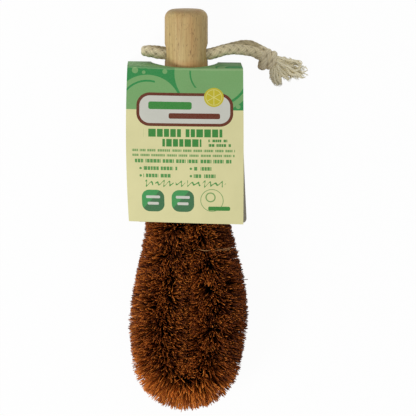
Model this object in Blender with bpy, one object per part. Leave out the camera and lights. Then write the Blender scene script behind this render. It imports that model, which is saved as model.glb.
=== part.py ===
"""Dish brush lying on its back: a dowel handle, a head of bristles held in a twisted wire that is
bent into a U, a hanging cord through the handle, and a folded card sleeve that slides on the handle.

Metres, +Z up. +Y runs along the handle to its free end, +X to the right as seen from above.
The origin is on the table, under the middle of the brush.
"""

import math

import bmesh
import bpy
import numpy as np
from mathutils import Matrix, Vector

# Shared fits
fit_gap = 0.0003  # between pieces that touch on the real brush
cut_overrun = 0.003  # how far a cutter runs past the face that it leaves
cutter_sides = 24

# Handle, a round wooden dowel
handle_diameter = 0.025
handle_length = 0.113
handle_end_round = 0.0045
handle_foot_chamfer = 0.0012
handle_steps = 32
round_steps = 5
cord_hole_diameter = 0.0095
cord_hole_from_end = 0.0253  # the handle's free end to the middle of the cross hole
stem_hole_depth = 0.024
stem_hole_clearance = 0.0004  # round the twisted wires
stem_hole_sides = 16

# Twisted wire that carries the bristles
wire_diameter = 0.0015
wire_gap = 0.0004  # between the two wires
wire_twist_pitch = 0.016
wire_points_per_turn = 8
wire_bevel_resolution = 1
stem_half_spacing = 0.006  # the brush's middle to each stem where it leaves the handle
leg_half_spacing = 0.0147  # the same where the head is widest
leg_run = 0.0712  # the handle's foot to the widest place
leg_close_run = 0.0204  # the widest place to where the bend begins
bend_radius = 0.0125
head_lean = 0.0018  # how far the legs bow to the right of the handle's axis
path_step = 0.001

# Bristles
section_count = 9
rows_per_section = 4
core_sides = 6
core_bore_clearance = 0.0009  # round the twisted wires
core_wall = 0.0008
head_start_gap = 0.003  # the handle's foot to the first bristles
bristle_reach = 0.0203  # from the middle of the wires to the tips
bristle_reach_at_handle = 0.0172
bristle_root_radius = 0.00062
bristle_tip_radius = 0.00042
bristle_knee_share = 0.42  # where along a strand it may change direction
bristle_drift_share = 0.11  # how far a tip may stray sideways, as a share of the strand's length
inward_reach_share = 0.6  # of the bend's radius, for strands that point into the bend
bristle_seed = 12
middle_gap = 0.0006  # from the strands of one leg to the brush's middle plane

# Hanging cord
cord_diameter = 0.0062
cord_bevel_resolution = 3
cord_step = 0.0032

# Card sleeve, folded over the handle
card_thickness = 0.00045
crease_gap = 0.00045  # from the fold line to the edge of each panel
sleeve_width = 0.0662
sleeve_clearance = 0.00175  # from the handle up to the front panel, at the roof
front_length = 0.0899
front_rise = 0.006  # how far the bristles lift the front panel's lower edge
back_length = 0.0942
back_skew = 0.0034  # the back panel's lower edge sits this far to the right
sleeve_offset = -0.0012  # the sleeve's middle from the handle's axis
sleeve_below_hole = 0.0073  # the middle of the cross hole to the roof's outer face
sleeve_travel = 0.02  # towards the head, before the bristles stop the card
handle_cutout_half_width = 0.0196
cutout_bridge = 0.0012  # card left between the cut-out and the front fold line
cutout_into_back = 0.0031  # how far the cut-out runs on past the back fold line
cutout_power = 2.2
cutout_points = 36

# Knot and frayed ends of the cord
knot_right_of_axis = 0.0473
knot_behind_hole = 0.0055
knot_half_length = 0.0066
knot_half_width = 0.0060
knot_half_height = 0.0058
knot_turn = math.radians(-38)
knot_lobe_share = 0.2  # how much further the tucked turn of cord stands out at one side
knot_wraps = 2
knot_wrap_slant = 5
knot_wrap_depth_share = 0.16
knot_segments = 24
knot_rings = 14
knot_socket_depth = 0.0044  # from a cord's end inside the knot, out past the knot's skin
tassel_sides = 12

# Finish
merge_distance = 0.00001
smooth_angle = math.radians(50)  # edges sharper than this stay hard

# Places that follow from the sizes
handle_x = -0.0006  # the handle's axis, left of the middle because the head leans to the right
head_length = leg_run + leg_close_run + bend_radius + bristle_reach
handle_end_y = (handle_length + head_length) / 2
handle_foot_y = handle_end_y - handle_length
handle_z = handle_diameter / 2 + cord_diameter + 2 * fit_gap
cord_lie_z = cord_diameter / 2 + fit_gap
cord_hole_y = handle_end_y - cord_hole_from_end
twist_radius = (wire_diameter + wire_gap) / 2
bundle_radius = twist_radius + wire_diameter / 2
core_bore_radius = bundle_radius + core_bore_clearance
core_radius = core_bore_radius + core_wall
bend_start_y = handle_foot_y - leg_run - leg_close_run
sleeve_depth = handle_z + handle_diameter / 2 + sleeve_clearance + card_thickness
sleeve_x = handle_x + sleeve_offset
roof_y = cord_hole_y - sleeve_below_hole - card_thickness / 2
front_crease_z = sleeve_depth - card_thickness / 2
back_crease_z = card_thickness / 2
front_slope = math.asin(front_rise / front_length)
knot_z = knot_half_height + fit_gap
knot_place = Vector((handle_x + knot_right_of_axis, cord_hole_y - knot_behind_hole, knot_z))

# The cord's two free stretches, as the photograph shows them. Each point is right of the handle's
# axis, ahead of the cross hole's middle, and a share of the way up from the table to the handle's axis.
right_strand_route = [
    (0.0002, -0.0014, 1.0),
    (0.0065, -0.0015, 1.0),
    (0.0125, -0.0014, 1.0),
    (0.0160, -0.0008, 0.99),
    (0.0195, 0.0003, 0.955),
    (0.0230, 0.0011, 0.885),
    (0.0265, 0.0014, 0.79),
    (0.0300, 0.0014, 0.69),
    (0.0335, 0.0010, 0.605),
    (0.0370, 0.0003, 0.53),
    (0.0402, -0.0009, 0.46),
    (0.0430, -0.0026, 0.4),
]
left_strand_route = [
    (-0.0002, -0.0014, 1.0),
    (-0.0065, -0.0014, 1.0),
    (-0.0125, -0.0012, 1.0),
    (-0.0162, -0.0008, 0.99),
    (-0.0201, -0.0002, 0.86),
    (-0.0228, 0.0001, 0.67),
    (-0.0237, 0.0001, 0.5),
    (-0.0229, 0.0001, 0.33),
    (-0.0202, -0.0001, 0.14),
    (-0.0163, -0.0006, 0.015),
    (-0.0110, -0.0013, 0.0),
    (0.0000, -0.0021, 0.0),
    (0.0105, -0.0024, 0.0),
    (0.0160, -0.0015, 0.0),
    (0.0208, -0.0001, 0.0),
    (0.0255, 0.0011, 0.0),
    (0.0300, 0.0019, 0.0),
    (0.0337, 0.0024, 0.0),
    (0.0372, 0.0023, 0.0),
    (0.0405, 0.0012, 0.0),
    (0.0434, -0.0004, 0.02),
]

# The frayed ends: right of the handle's axis, ahead of the hole's middle, height over the table,
# half the width and half the thickness of the yarns there
fan_route = [
    (0.0518, -0.0062, 0.0052, 0.0022, 0.0022),
    (0.0548, -0.0076, 0.0049, 0.0029, 0.0024),
    (0.0588, -0.0096, 0.0041, 0.0046, 0.0023),
    (0.0628, -0.0118, 0.0034, 0.0062, 0.0020),
    (0.0664, -0.0138, 0.0029, 0.0066, 0.0017),
    (0.0694, -0.0152, 0.0026, 0.0058, 0.0014),
]
lock_route = [
    (0.0500, -0.0100, 0.0046, 0.0018, 0.0018),
    (0.0507, -0.0125, 0.0042, 0.0024, 0.0021),
    (0.0519, -0.0158, 0.0037, 0.0030, 0.0022),
    (0.0530, -0.0192, 0.0032, 0.0030, 0.0020),
    (0.0537, -0.0222, 0.0028, 0.0026, 0.0016),
]


def clear_scene():
    for found in list(bpy.data.objects):
        bpy.data.objects.remove(found, do_unlink=True)


def make_material(name, colour, roughness, metallic=0.0):
    material = bpy.data.materials.new(name)
    material.use_nodes = True
    shader = material.node_tree.nodes["Principled BSDF"]
    shader.inputs["Base Color"].default_value = (*colour, 1.0)
    shader.inputs["Roughness"].default_value = roughness
    shader.inputs["Metallic"].default_value = metallic
    return material


def add_object(name, data, material=None, parent=None, location=(0, 0, 0)):
    made = bpy.data.objects.new(name, data)
    bpy.context.scene.collection.objects.link(made)
    made.location = location
    made.parent = parent
    if material:
        data.materials.append(material)
    return made


def mesh_from(bm, name, sharp_angle=None):
    """Turns a bmesh into a mesh, with smooth shading where an angle is given."""
    bmesh.ops.recalc_face_normals(bm, faces=bm.faces)
    mesh = bpy.data.meshes.new(name)
    bm.to_mesh(mesh)
    bm.free()
    if sharp_angle is not None:
        mesh.shade_smooth()
        mesh.set_sharp_from_angle(angle=sharp_angle)
    return mesh


def make_cutter(name, radius, start, end, sides=cutter_sides):
    """A hidden cylinder from start to end, used by a Boolean."""
    run = Vector(end) - Vector(start)
    bm = bmesh.new()
    bmesh.ops.create_cone(
        bm, cap_ends=True, segments=sides, radius1=radius, radius2=radius, depth=run.length
    )
    turn = run.to_track_quat("Z", "Y").to_matrix().to_4x4()
    middle = (Vector(start) + Vector(end)) / 2
    bmesh.ops.transform(bm, matrix=Matrix.Translation(middle) @ turn, verts=bm.verts)
    cutter = add_object(name, mesh_from(bm, name))
    cutter.hide_render = True
    cutter.display_type = "WIRE"
    return cutter


def cut(target, cutter):
    boolean = target.modifiers.new(cutter.name, "BOOLEAN")
    boolean.operation = "DIFFERENCE"
    boolean.solver = "EXACT"
    boolean.object = cutter


def smooth_line(points, step):
    """Points about a step apart on a centripetal Catmull-Rom curve through the given points."""
    points = [Vector(p) for p in points]
    first = points[0] * 2 - points[1]
    last = points[-1] * 2 - points[-2]
    knots = [first, *points, last]
    line = []
    for a, b, c, d in zip(knots, knots[1:], knots[2:], knots[3:]):
        t1 = (b - a).length ** 0.5
        t2 = t1 + (c - b).length ** 0.5
        t3 = t2 + (d - c).length ** 0.5
        pieces = max(1, round((c - b).length / step))
        for i in range(pieces):
            t = t1 + (t2 - t1) * i / pieces
            ab = a.lerp(b, t / t1)
            bc = b.lerp(c, (t - t1) / (t2 - t1))
            cd = c.lerp(d, (t - t2) / (t3 - t2))
            abc = ab.lerp(bc, t / t2)
            bcd = bc.lerp(cd, (t - t1) / (t3 - t1))
            line.append(abc.lerp(bcd, (t - t1) / (t2 - t1)))
    line.append(points[-1])
    return line


def make_tube(name, line, radius, resolution, material):
    curve = bpy.data.curves.new(name, "CURVE")
    curve.dimensions = "3D"
    curve.bevel_depth = radius
    curve.bevel_resolution = resolution
    curve.render_resolution_u = 0
    curve.use_fill_caps = True
    spline = curve.splines.new("POLY")
    spline.points.add(len(line) - 1)
    for point, place in zip(spline.points, line):
        point.co = (*place, 1.0)
    spline.use_smooth = True
    return add_object(name, curve, material)


def make_handle(material):
    """Turned profile round local Z, laid along +Y, with the cross hole and the two stem holes."""
    radius = handle_diameter / 2
    profile = [(0.0, handle_length)]
    for i in range(round_steps + 1):
        angle = math.pi / 2 * i / round_steps
        out = radius - handle_end_round + handle_end_round * math.sin(angle)
        up = handle_length - handle_end_round + handle_end_round * math.cos(angle)
        profile.append((out, up))
    profile.append((radius, handle_foot_chamfer))
    profile.append((radius - handle_foot_chamfer, 0.0))
    profile.append((0.0, 0.0))
    bm = bmesh.new()
    line = [bm.verts.new((out, 0.0, up)) for out, up in profile]
    for a, b in zip(line, line[1:]):
        bm.edges.new((a, b))
    mesh = bpy.data.meshes.new("handle")
    bm.to_mesh(mesh)
    bm.free()
    handle = add_object("handle", mesh, material, location=(handle_x, handle_foot_y, handle_z))
    handle.rotation_euler = (math.radians(-90), 0, 0)
    screw = handle.modifiers.new("turning", "SCREW")
    screw.steps = screw.render_steps = handle_steps
    screw.use_merge_vertices = True
    screw.merge_threshold = merge_distance
    screw.use_smooth_shade = True
    side = radius + cut_overrun
    hole = make_cutter(
        "cord_hole_cutter",
        cord_hole_diameter / 2,
        (handle_x - side, cord_hole_y, handle_z),
        (handle_x + side, cord_hole_y, handle_z),
    )
    cut(handle, hole)
    for name, way in (("right", 1), ("left", -1)):
        x = handle_x + way * stem_half_spacing
        bore = make_cutter(
            f"stem_hole_cutter_{name}",
            bundle_radius + stem_hole_clearance,
            (x, handle_foot_y - cut_overrun, handle_z),
            (x, handle_foot_y + stem_hole_depth, handle_z),
            stem_hole_sides,
        )
        cut(handle, bore)
    return handle


def ease(share):
    """0 to 1 with level ends, for a share from 0 to 1."""
    return (1 - math.cos(math.pi * min(max(share, 0.0), 1.0))) / 2


def leg_offset(y):
    """Half the spacing of the two legs at this place along the brush, above the bend."""
    if y >= handle_foot_y:
        return stem_half_spacing
    flare = ease((handle_foot_y - y) / leg_run)
    close = ease((handle_foot_y - leg_run - y) / leg_close_run)
    opened = stem_half_spacing + (leg_half_spacing - stem_half_spacing) * flare
    return opened - (leg_half_spacing - bend_radius) * close


def lean(y):
    """How far the head bows to the right of the handle's axis."""
    share = min(max((handle_foot_y - y) / (leg_run + leg_close_run), 0.0), 1.0)
    return head_lean * math.sin(math.pi * share)


def wire_path():
    """The middle of the twisted wires, from the right stem's end round the bend to the left one's,
    in even steps."""
    top = handle_foot_y + stem_hole_depth - fit_gap
    heights = np.arange(top, bend_start_y, -path_step)
    right = [(leg_offset(y), lean(y), y) for y in heights]
    turns = np.arange(0.0, math.pi + path_step / bend_radius / 2, path_step / bend_radius)
    bend = [
        (bend_radius * math.cos(a), 0.0, bend_start_y - bend_radius * math.sin(a)) for a in turns
    ]
    left = [(-x, shift, y) for x, shift, y in reversed(right)]
    rough = np.array([(handle_x + x + shift, y, handle_z) for x, shift, y in right + bend + left])
    along = np.concatenate([[0.0], np.cumsum(np.linalg.norm(np.diff(rough, axis=0), axis=1))])
    even = np.linspace(0.0, along[-1], round(along[-1] / path_step) + 1)
    line = np.stack([np.interp(even, along, rough[:, k]) for k in range(3)], axis=1)
    return even, line


path_along, path_line = wire_path()


def path_frame(s):
    """The place on the wires' middle line at the length s, the way it runs, and the way out of
    the U, which is level."""
    place = Vector([float(np.interp(s, path_along, path_line[:, k])) for k in range(3)])
    ahead = [float(np.interp(s + path_step, path_along, path_line[:, k])) for k in range(3)]
    behind = [float(np.interp(s - path_step, path_along, path_line[:, k])) for k in range(3)]
    run = (Vector(ahead) - Vector(behind)).normalized()
    out = run.cross(Vector((0, 0, 1))).normalized()
    return place, run, -out


def make_wires(material):
    """Two wires wound round each other along the path."""
    turns = path_along[-1] / wire_twist_pitch
    count = round(turns * wire_points_per_turn)
    for name, phase in (("twisted_wire_a", 0.0), ("twisted_wire_b", math.pi)):
        line = []
        for i in range(count + 1):
            s = path_along[-1] * i / count
            place, _, out = path_frame(s)
            angle = phase + math.tau * s / wire_twist_pitch
            line.append(place + twist_radius * (math.cos(angle) * out + Vector((0, 0, math.sin(angle)))))
        make_tube(name, line, wire_diameter / 2, wire_bevel_resolution, material)


def front_underside(y):
    """Height of the front panel's underside over a place y, with the sleeve pushed to the head."""
    run = roof_y - sleeve_travel - y
    return front_crease_z + run * math.tan(front_slope) - card_thickness / 2 / math.cos(front_slope)


def inward_share(place, way):
    """How much a strand of the bend points to the bend's middle, 0 for every other strand."""
    if place.y > bend_start_y:
        return 0.0
    to_middle = Vector((handle_x - place.x, bend_start_y - place.y, 0.0)).normalized()
    return max(way.dot(to_middle), 0.0)


def strand_length(place, way):
    """From the wires' middle line at place to the tip of a strand that grows in this way."""
    grown = ease((handle_foot_y - place.y) / leg_run)
    length = bristle_reach_at_handle + (bristle_reach - bristle_reach_at_handle) * grown
    x = place.x - handle_x - lean(place.y)
    if place.y > bend_start_y and way.x * x < 0:
        length = min(length, (abs(x) - middle_gap - bristle_root_radius) / abs(way.x))
    inward = inward_share(place, way)
    if inward > 0:
        length = min(length, inward_reach_share * bend_radius / inward)
    if way.z < 0:
        length = min(length, (handle_z - lowest_tip(place.y)) / -way.z)
    if way.z > 0:
        length = min(length, (highest_tip(place.y) - handle_z) / way.z)
    return length


def lowest_tip(y):
    """The lowest that the middle of a tip may be: on the back panel where it reaches, or the table."""
    panel_end = roof_y - back_length - sleeve_travel - bristle_reach * bristle_drift_share
    floor = card_thickness + fit_gap if y > panel_end else 0.0
    return floor + bristle_tip_radius


def highest_tip(y):
    """The highest that the middle of a tip may be, under the front panel where it can reach."""
    panel_end = roof_y - front_length - sleeve_travel - bristle_reach * bristle_drift_share
    top = handle_z + bristle_reach
    if y > panel_end:
        top = min(top, front_underside(y) - fit_gap)
    return top - bristle_tip_radius


def keep_own_side(tip, place):
    """Holds a tip on its own leg's side of the brush's middle plane."""
    side = math.copysign(1.0, place.x - handle_x - lean(place.y))
    inside = side * (tip.x - handle_x - lean(tip.y))
    if place.y > bend_start_y and inside < middle_gap + bristle_tip_radius:
        tip.x += side * (middle_gap + bristle_tip_radius - inside)


def triangle_round(middle, way, corners, radius):
    """Three even corners round middle, square to way, turned to match the given corners."""
    side = way.orthogonal().normalized()
    up = way.cross(side)
    turn = Vector((0.0, 0.0))
    for i, corner in enumerate(corners):
        angle = math.atan2((corner - middle).dot(up), (corner - middle).dot(side)) - math.tau * i / 3
        turn += Vector((math.cos(angle), math.sin(angle)))
    start = math.atan2(turn.y, turn.x)
    angles = [start + math.tau * i / 3 for i in range(3)]
    return [middle + radius * (math.cos(a) * side + math.sin(a) * up) for a in angles]


def grow_strand(bm, face, s, drift):
    """Extrudes one small face of the core twice, to a knee and then to a tip."""
    place, run, _ = path_frame(s)
    base = face.calc_center_median()
    way = base - place
    way = (way - run * way.dot(run)).normalized()
    length = strand_length(place, way)
    across = run.cross(way)
    loose = 1 - min(inward_share(place, way) / inward_reach_share, 1.0)
    stray = (run * drift[0] + across * drift[1]) * bristle_drift_share * length * loose
    knee = place + way * max(length * bristle_knee_share, core_radius + fit_gap)
    tip = place + way * length + stray
    tip.z = min(max(tip.z, lowest_tip(tip.y)), highest_tip(tip.y))
    keep_own_side(tip, place)
    for middle, radius in ((knee, bristle_root_radius), (tip, bristle_tip_radius)):
        corners = [v.co.copy() for v in face.verts]
        face = bmesh.ops.extrude_discrete_faces(bm, faces=[face])["faces"][0]
        for vert, corner in zip(face.verts, triangle_round(middle, way, corners, radius)):
            vert.co = corner


def make_bristle_section(number, first, last, chance, material):
    """A slice of the bristles' packed roots, bored for the wires, with a strand from each face."""
    bm = bmesh.new()
    stations = np.linspace(first, last, rows_per_section + 1)
    rings = []
    for radius in (core_radius, core_bore_radius):
        shell = []
        for s in stations:
            place, _, out = path_frame(s)
            angles = [math.tau * (k - 1 / 2) / core_sides for k in range(core_sides)]
            shell.append(
                [bm.verts.new(place + radius * (math.cos(a) * out + Vector((0, 0, math.sin(a)))))
                 for a in angles]
            )
        rings.append(shell)
    outer, inner = rings
    roots = []
    for i in range(rows_per_section):
        for k in range(core_sides):
            n = (k + 1) % core_sides
            a, b, c, d = outer[i][k], outer[i][n], outer[i + 1][n], outer[i + 1][k]
            step = stations[i + 1] - stations[i]
            roots.append((bm.faces.new((a, b, c)), stations[i] + step / 3))
            roots.append((bm.faces.new((a, c, d)), stations[i] + step * 2 / 3))
            bm.faces.new((inner[i][k], inner[i + 1][k], inner[i + 1][n], inner[i][n]))
    for i in (0, rows_per_section):
        for k in range(core_sides):
            n = (k + 1) % core_sides
            bm.faces.new((outer[i][k], inner[i][k], inner[i][n], outer[i][n]))
    bmesh.ops.recalc_face_normals(bm, faces=bm.faces)
    for face, s in roots:
        grow_strand(bm, face, s, chance.uniform(-1.0, 1.0, 2))
    name = f"bristle_section_{number}"
    return add_object(name, mesh_from(bm, name), material)


def make_bristles(material):
    chance = np.random.default_rng(bristle_seed)
    first = stem_hole_depth - fit_gap + head_start_gap
    last = path_along[-1] - first
    pitch = (last - first + fit_gap) / section_count
    for i in range(section_count):
        start = first + pitch * i
        make_bristle_section(i + 1, start, start + pitch - fit_gap, chance, material)


def route_points(route):
    """World places of a cord's route."""
    rise = handle_z - cord_lie_z
    return [(handle_x + x, cord_hole_y + y, cord_lie_z + share * rise) for x, y, share in route]


def make_cord(material):
    """The two free stretches of the hanging cord, which meet inside the cross hole."""
    lines = {}
    routes = (("hanging_cord_right", right_strand_route), ("hanging_cord_left", left_strand_route))
    for name, route in routes:
        line = smooth_line(route_points(route), cord_step)
        make_tube(name, line, cord_diameter / 2, cord_bevel_resolution, material)
        lines[name] = line
    return lines


def tassel_rings(route):
    """World rings of a flat bundle of yarns, each as its middle, half width and half thickness."""
    return [(Vector((handle_x + x, cord_hole_y + y, z)), w, h) for x, y, z, w, h in route]


def make_tassel(name, route, material):
    """A closed bundle with an oval section, lofted along its route."""
    rings = tassel_rings(route)
    bm = bmesh.new()
    loops = []
    for i, (place, half_width, half_height) in enumerate(rings):
        before = rings[max(i - 1, 0)][0]
        after = rings[min(i + 1, len(rings) - 1)][0]
        run = (after - before).normalized()
        side = run.cross(Vector((0, 0, 1))).normalized()
        up = side.cross(run)
        loop = []
        for k in range(tassel_sides):
            angle = math.tau * k / tassel_sides
            offset = half_width * math.cos(angle) * side + half_height * math.sin(angle) * up
            loop.append(bm.verts.new(place + offset))
        loops.append(loop)
    for a, b in zip(loops, loops[1:]):
        for k in range(tassel_sides):
            n = (k + 1) % tassel_sides
            bm.faces.new((a[k], a[n], b[n], b[k]))
    bm.faces.new(reversed(loops[0]))
    bm.faces.new(loops[-1])
    return add_object(name, mesh_from(bm, name, smooth_angle), material)


def make_knot(cord_lines, material):
    """The lump of an overhand knot: a rounded body with the cord's wraps round it, and a socket
    for each cord and frayed end that comes out of it."""
    bm = bmesh.new()
    bmesh.ops.create_uvsphere(bm, u_segments=knot_segments, v_segments=knot_rings, radius=1.0)
    for vert in bm.verts:
        around = math.atan2(vert.co.z, vert.co.y)
        wrap = math.cos(knot_wraps * around + knot_wrap_slant * vert.co.x) * (1 - vert.co.x**2)
        vert.co *= 1 + knot_wrap_depth_share * (wrap - 1) / 2
        vert.co.y *= 1 + knot_lobe_share * max(-vert.co.y, 0.0) ** 2
        vert.co.x *= knot_half_length
        vert.co.y *= knot_half_width
        vert.co.z *= knot_half_height
    turn = Matrix.Rotation(knot_turn, 4, "Z")
    bmesh.ops.transform(bm, matrix=Matrix.Translation(knot_place) @ turn, verts=bm.verts)
    knot = add_object("cord_knot", mesh_from(bm, "cord_knot", smooth_angle), material)
    ends = [(line[-1], line[-2], cord_diameter / 2) for line in cord_lines.values()]
    for route in (fan_route, lock_route):
        (first, width, height), (second, _, _) = tassel_rings(route)[:2]
        ends.append((first, second, max(width, height)))
    for i, (end, before, radius) in enumerate(ends):
        run = (end - before).normalized()
        socket = make_cutter(
            f"knot_socket_cutter_{i + 1}",
            radius + fit_gap,
            end - run * knot_socket_depth,
            end + run * fit_gap,
        )
        cut(knot, socket)
    return knot


def make_panel(name, outline, frame, material, parent=None):
    """A flat card panel: the outline in the frame's X and Y, half its thickness to each side."""
    bm = bmesh.new()
    face = bm.faces.new([bm.verts.new((x, y, -card_thickness / 2)) for x, y in outline])
    grown = bmesh.ops.extrude_face_region(bm, geom=[face])["geom"]
    lifted = [g for g in grown if isinstance(g, bmesh.types.BMVert)]
    bmesh.ops.translate(bm, verts=lifted, vec=(0, 0, card_thickness))
    panel = add_object(name, mesh_from(bm, name), material, parent)
    panel.matrix_local = frame
    return panel


def cut_out_for_handle(panel, frame, reach, fold_y):
    """Cuts a soft half oval into a panel, as wide as the cut-out on the fold line at fold_y and
    reaching so far from it. Its other half is past the panel's edge and cuts nothing."""
    outline = []
    for i in range(cutout_points):
        angle = math.tau * i / cutout_points
        x = abs(math.cos(angle)) ** (2 / cutout_power) * math.copysign(1.0, math.cos(angle))
        y = abs(math.sin(angle)) ** (2 / cutout_power) * math.copysign(1.0, math.sin(angle))
        outline.append((handle_cutout_half_width * x, fold_y + reach * y))
    bm = bmesh.new()
    face = bm.faces.new([bm.verts.new((x, y, -cut_overrun)) for x, y in outline])
    grown = bmesh.ops.extrude_face_region(bm, geom=[face])["geom"]
    lifted = [g for g in grown if isinstance(g, bmesh.types.BMVert)]
    bmesh.ops.translate(bm, verts=lifted, vec=(0, 0, 2 * cut_overrun))
    name = panel.name + "_cutter"
    cutter = add_object(name, mesh_from(bm, name), None, panel.parent)
    cutter.matrix_local = frame
    cutter.hide_render = True
    cutter.display_type = "WIRE"
    cut(panel, cutter)


def make_sleeve(material):
    """Roof, front and back of one folded card. Each panel's empty is on its fold line."""
    slider = add_object("sleeve_slider", None, location=(sleeve_x, roof_y, 0))
    half = sleeve_width / 2
    depth = front_crease_z - back_crease_z
    upright = Matrix.Rotation(math.radians(90), 4, "X")
    middle = Matrix.Translation((0, 0, back_crease_z + depth / 2))
    edge = depth / 2 - crease_gap
    roof_outline = [(-half, -edge), (half, -edge), (half, edge), (-half, edge)]
    roof = make_panel("sleeve_roof", roof_outline, middle @ upright, material, slider)
    cut_out_for_handle(roof, middle @ upright, depth - cutout_bridge, -depth / 2)

    front_hinge = add_object("front_crease", None, None, slider, (0, 0, front_crease_z))
    front_outline = [
        (-half, -front_length),
        (half, -front_length),
        (half, -crease_gap),
        (-half, -crease_gap),
    ]
    lifted_edge = Matrix.Rotation(-front_slope, 4, "X")
    make_panel("sleeve_front", front_outline, lifted_edge, material, front_hinge)

    back_hinge = add_object("back_crease", None, None, slider, (0, 0, back_crease_z))
    back_outline = [
        (-half + back_skew, -back_length),
        (half + back_skew, -back_length),
        (half, -crease_gap),
        (-half, -crease_gap),
    ]
    back = make_panel("sleeve_back", back_outline, Matrix.Identity(4), material, back_hinge)
    cut_out_for_handle(back, Matrix.Identity(4), cutout_into_back, 0)


def main():
    clear_scene()
    wood = make_material("handle_wood", (0.50, 0.35, 0.17), 0.62)
    steel = make_material("galvanised_wire", (0.55, 0.56, 0.57), 0.35, 0.9)
    coir = make_material("coir_bristle", (0.24, 0.09, 0.03), 0.75)
    cotton = make_material("cotton_cord", (0.55, 0.48, 0.33), 0.9)
    card = make_material("printed_card", (0.20, 0.42, 0.18), 0.55)
    make_handle(wood)
    make_wires(steel)
    make_bristles(coir)
    lines = make_cord(cotton)
    make_knot(lines, cotton)
    make_tassel("frayed_end_fan", fan_route, cotton)
    make_tassel("frayed_end_lock", lock_route, cotton)
    make_sleeve(card)
    bpy.context.view_layer.update()


main()
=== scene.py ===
import math

import bpy
import numpy as np
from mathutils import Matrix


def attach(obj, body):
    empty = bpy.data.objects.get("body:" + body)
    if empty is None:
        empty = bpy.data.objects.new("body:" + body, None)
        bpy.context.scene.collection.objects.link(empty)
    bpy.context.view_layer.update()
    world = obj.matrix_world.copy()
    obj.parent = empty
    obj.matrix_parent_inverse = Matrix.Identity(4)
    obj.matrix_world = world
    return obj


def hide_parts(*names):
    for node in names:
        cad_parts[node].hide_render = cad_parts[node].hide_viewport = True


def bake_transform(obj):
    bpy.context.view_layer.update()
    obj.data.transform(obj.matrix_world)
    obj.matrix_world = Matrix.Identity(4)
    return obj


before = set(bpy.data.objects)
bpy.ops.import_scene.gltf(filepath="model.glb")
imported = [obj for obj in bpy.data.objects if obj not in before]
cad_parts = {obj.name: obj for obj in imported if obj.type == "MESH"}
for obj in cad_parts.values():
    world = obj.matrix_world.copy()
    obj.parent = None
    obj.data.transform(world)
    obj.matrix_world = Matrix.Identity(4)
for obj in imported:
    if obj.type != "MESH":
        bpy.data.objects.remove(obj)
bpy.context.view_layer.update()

# Washing-up brush lying on its back, +Z up, +Y along the handle to its free end. Lengths are in metres,
# but for the print and for what metres() takes, which are in millimetres.

place = {
    "handleX": -0.0006,
    "handleZ": 0.0193,      # axis of the handle above the table
    "handleFootY": 0.0057,
    "handleEndY": 0.1187,
    "holeY": 0.0934,        # middle of the cross hole
    "cordLieZ": 0.0034,     # middle of the cord where it lies on the table
}
upWay = np.array([0, 0, 1.0])


def unit(vectors):
    return vectors / np.maximum(np.linalg.norm(vectors, axis=-1, keepdims=True), 1e-12)


def xyz(x, y, z):
    # Places from numbers or arrays, the numbers the same for all.
    return np.stack(np.broadcast_arrays(x, y, z), -1)


def metres(places):
    return np.array(places, float) / 1000


def turnsOf(count):
    # So many even steps round a circle, in radians.
    return 2 * np.pi * np.arange(count) / count


def smoothStep(share):
    # 0 below 0, 1 above 1, and 3t^2 - 2t^3 between.
    t = np.clip(share, 0, 1)
    return t * t * (3 - 2 * t)


def halfCosine(share):
    # 0 below 0, 1 above 1, and (1 - cos(pi t)) / 2 between.
    return (1 - np.cos(np.pi * np.clip(share, 0, 1))) / 2


def softMax(value, floor, soft):
    # The value where it is well over the floor, the floor where it is well under, rounded over soft metres.
    over = (value - floor) / soft
    return floor + soft * np.where(over > 20, over, np.log1p(np.exp(np.minimum(over, 20))))


def smoothLine(points, step):
    # Centripetal Catmull-Rom through the points: three straight runs blended twice, each span timed
    # by the square root of its length, with a point about every step.
    points = np.asarray(points, float)
    knots = np.vstack([2 * points[0] - points[1], points, 2 * points[-1] - points[-2]])
    line = []
    for a, b, c, d in zip(knots, knots[1:], knots[2:], knots[3:]):
        t1 = np.linalg.norm(b - a) ** 0.5
        t2 = t1 + np.linalg.norm(c - b) ** 0.5
        t3 = t2 + np.linalg.norm(d - c) ** 0.5
        count = max(1, round(np.linalg.norm(c - b) / step))
        t = (t1 + (t2 - t1) * np.arange(count) / count)[:, None]
        ab = a + (b - a) * t / t1
        bc = b + (c - b) * (t - t1) / (t2 - t1)
        cd = c + (d - c) * (t - t2) / (t3 - t2)
        abc = ab + (bc - ab) * t / t2
        bcd = bc + (cd - bc) * (t - t1) / (t3 - t1)
        line.append(abc + (bcd - abc) * (t - t1) / (t2 - t1))
    return np.vstack([*line, points[-1:]])


def lengthAlong(line):
    return np.append(0, np.cumsum(np.linalg.norm(np.diff(line, axis=0), axis=1)))


def placesOn(line, along, at):
    # The line's places where the measure along it comes to each of at.
    return xyz(*(np.interp(at, along, line[:, k]) for k in range(3)))


def lineFrame(line, up=upWay):
    # Way to the line's side (along x up) and way over it (side x along).
    along = unit(np.gradient(line, axis=-2))
    side = unit(np.cross(along, np.broadcast_to(up, line.shape)))
    return side, np.cross(side, along)


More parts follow.
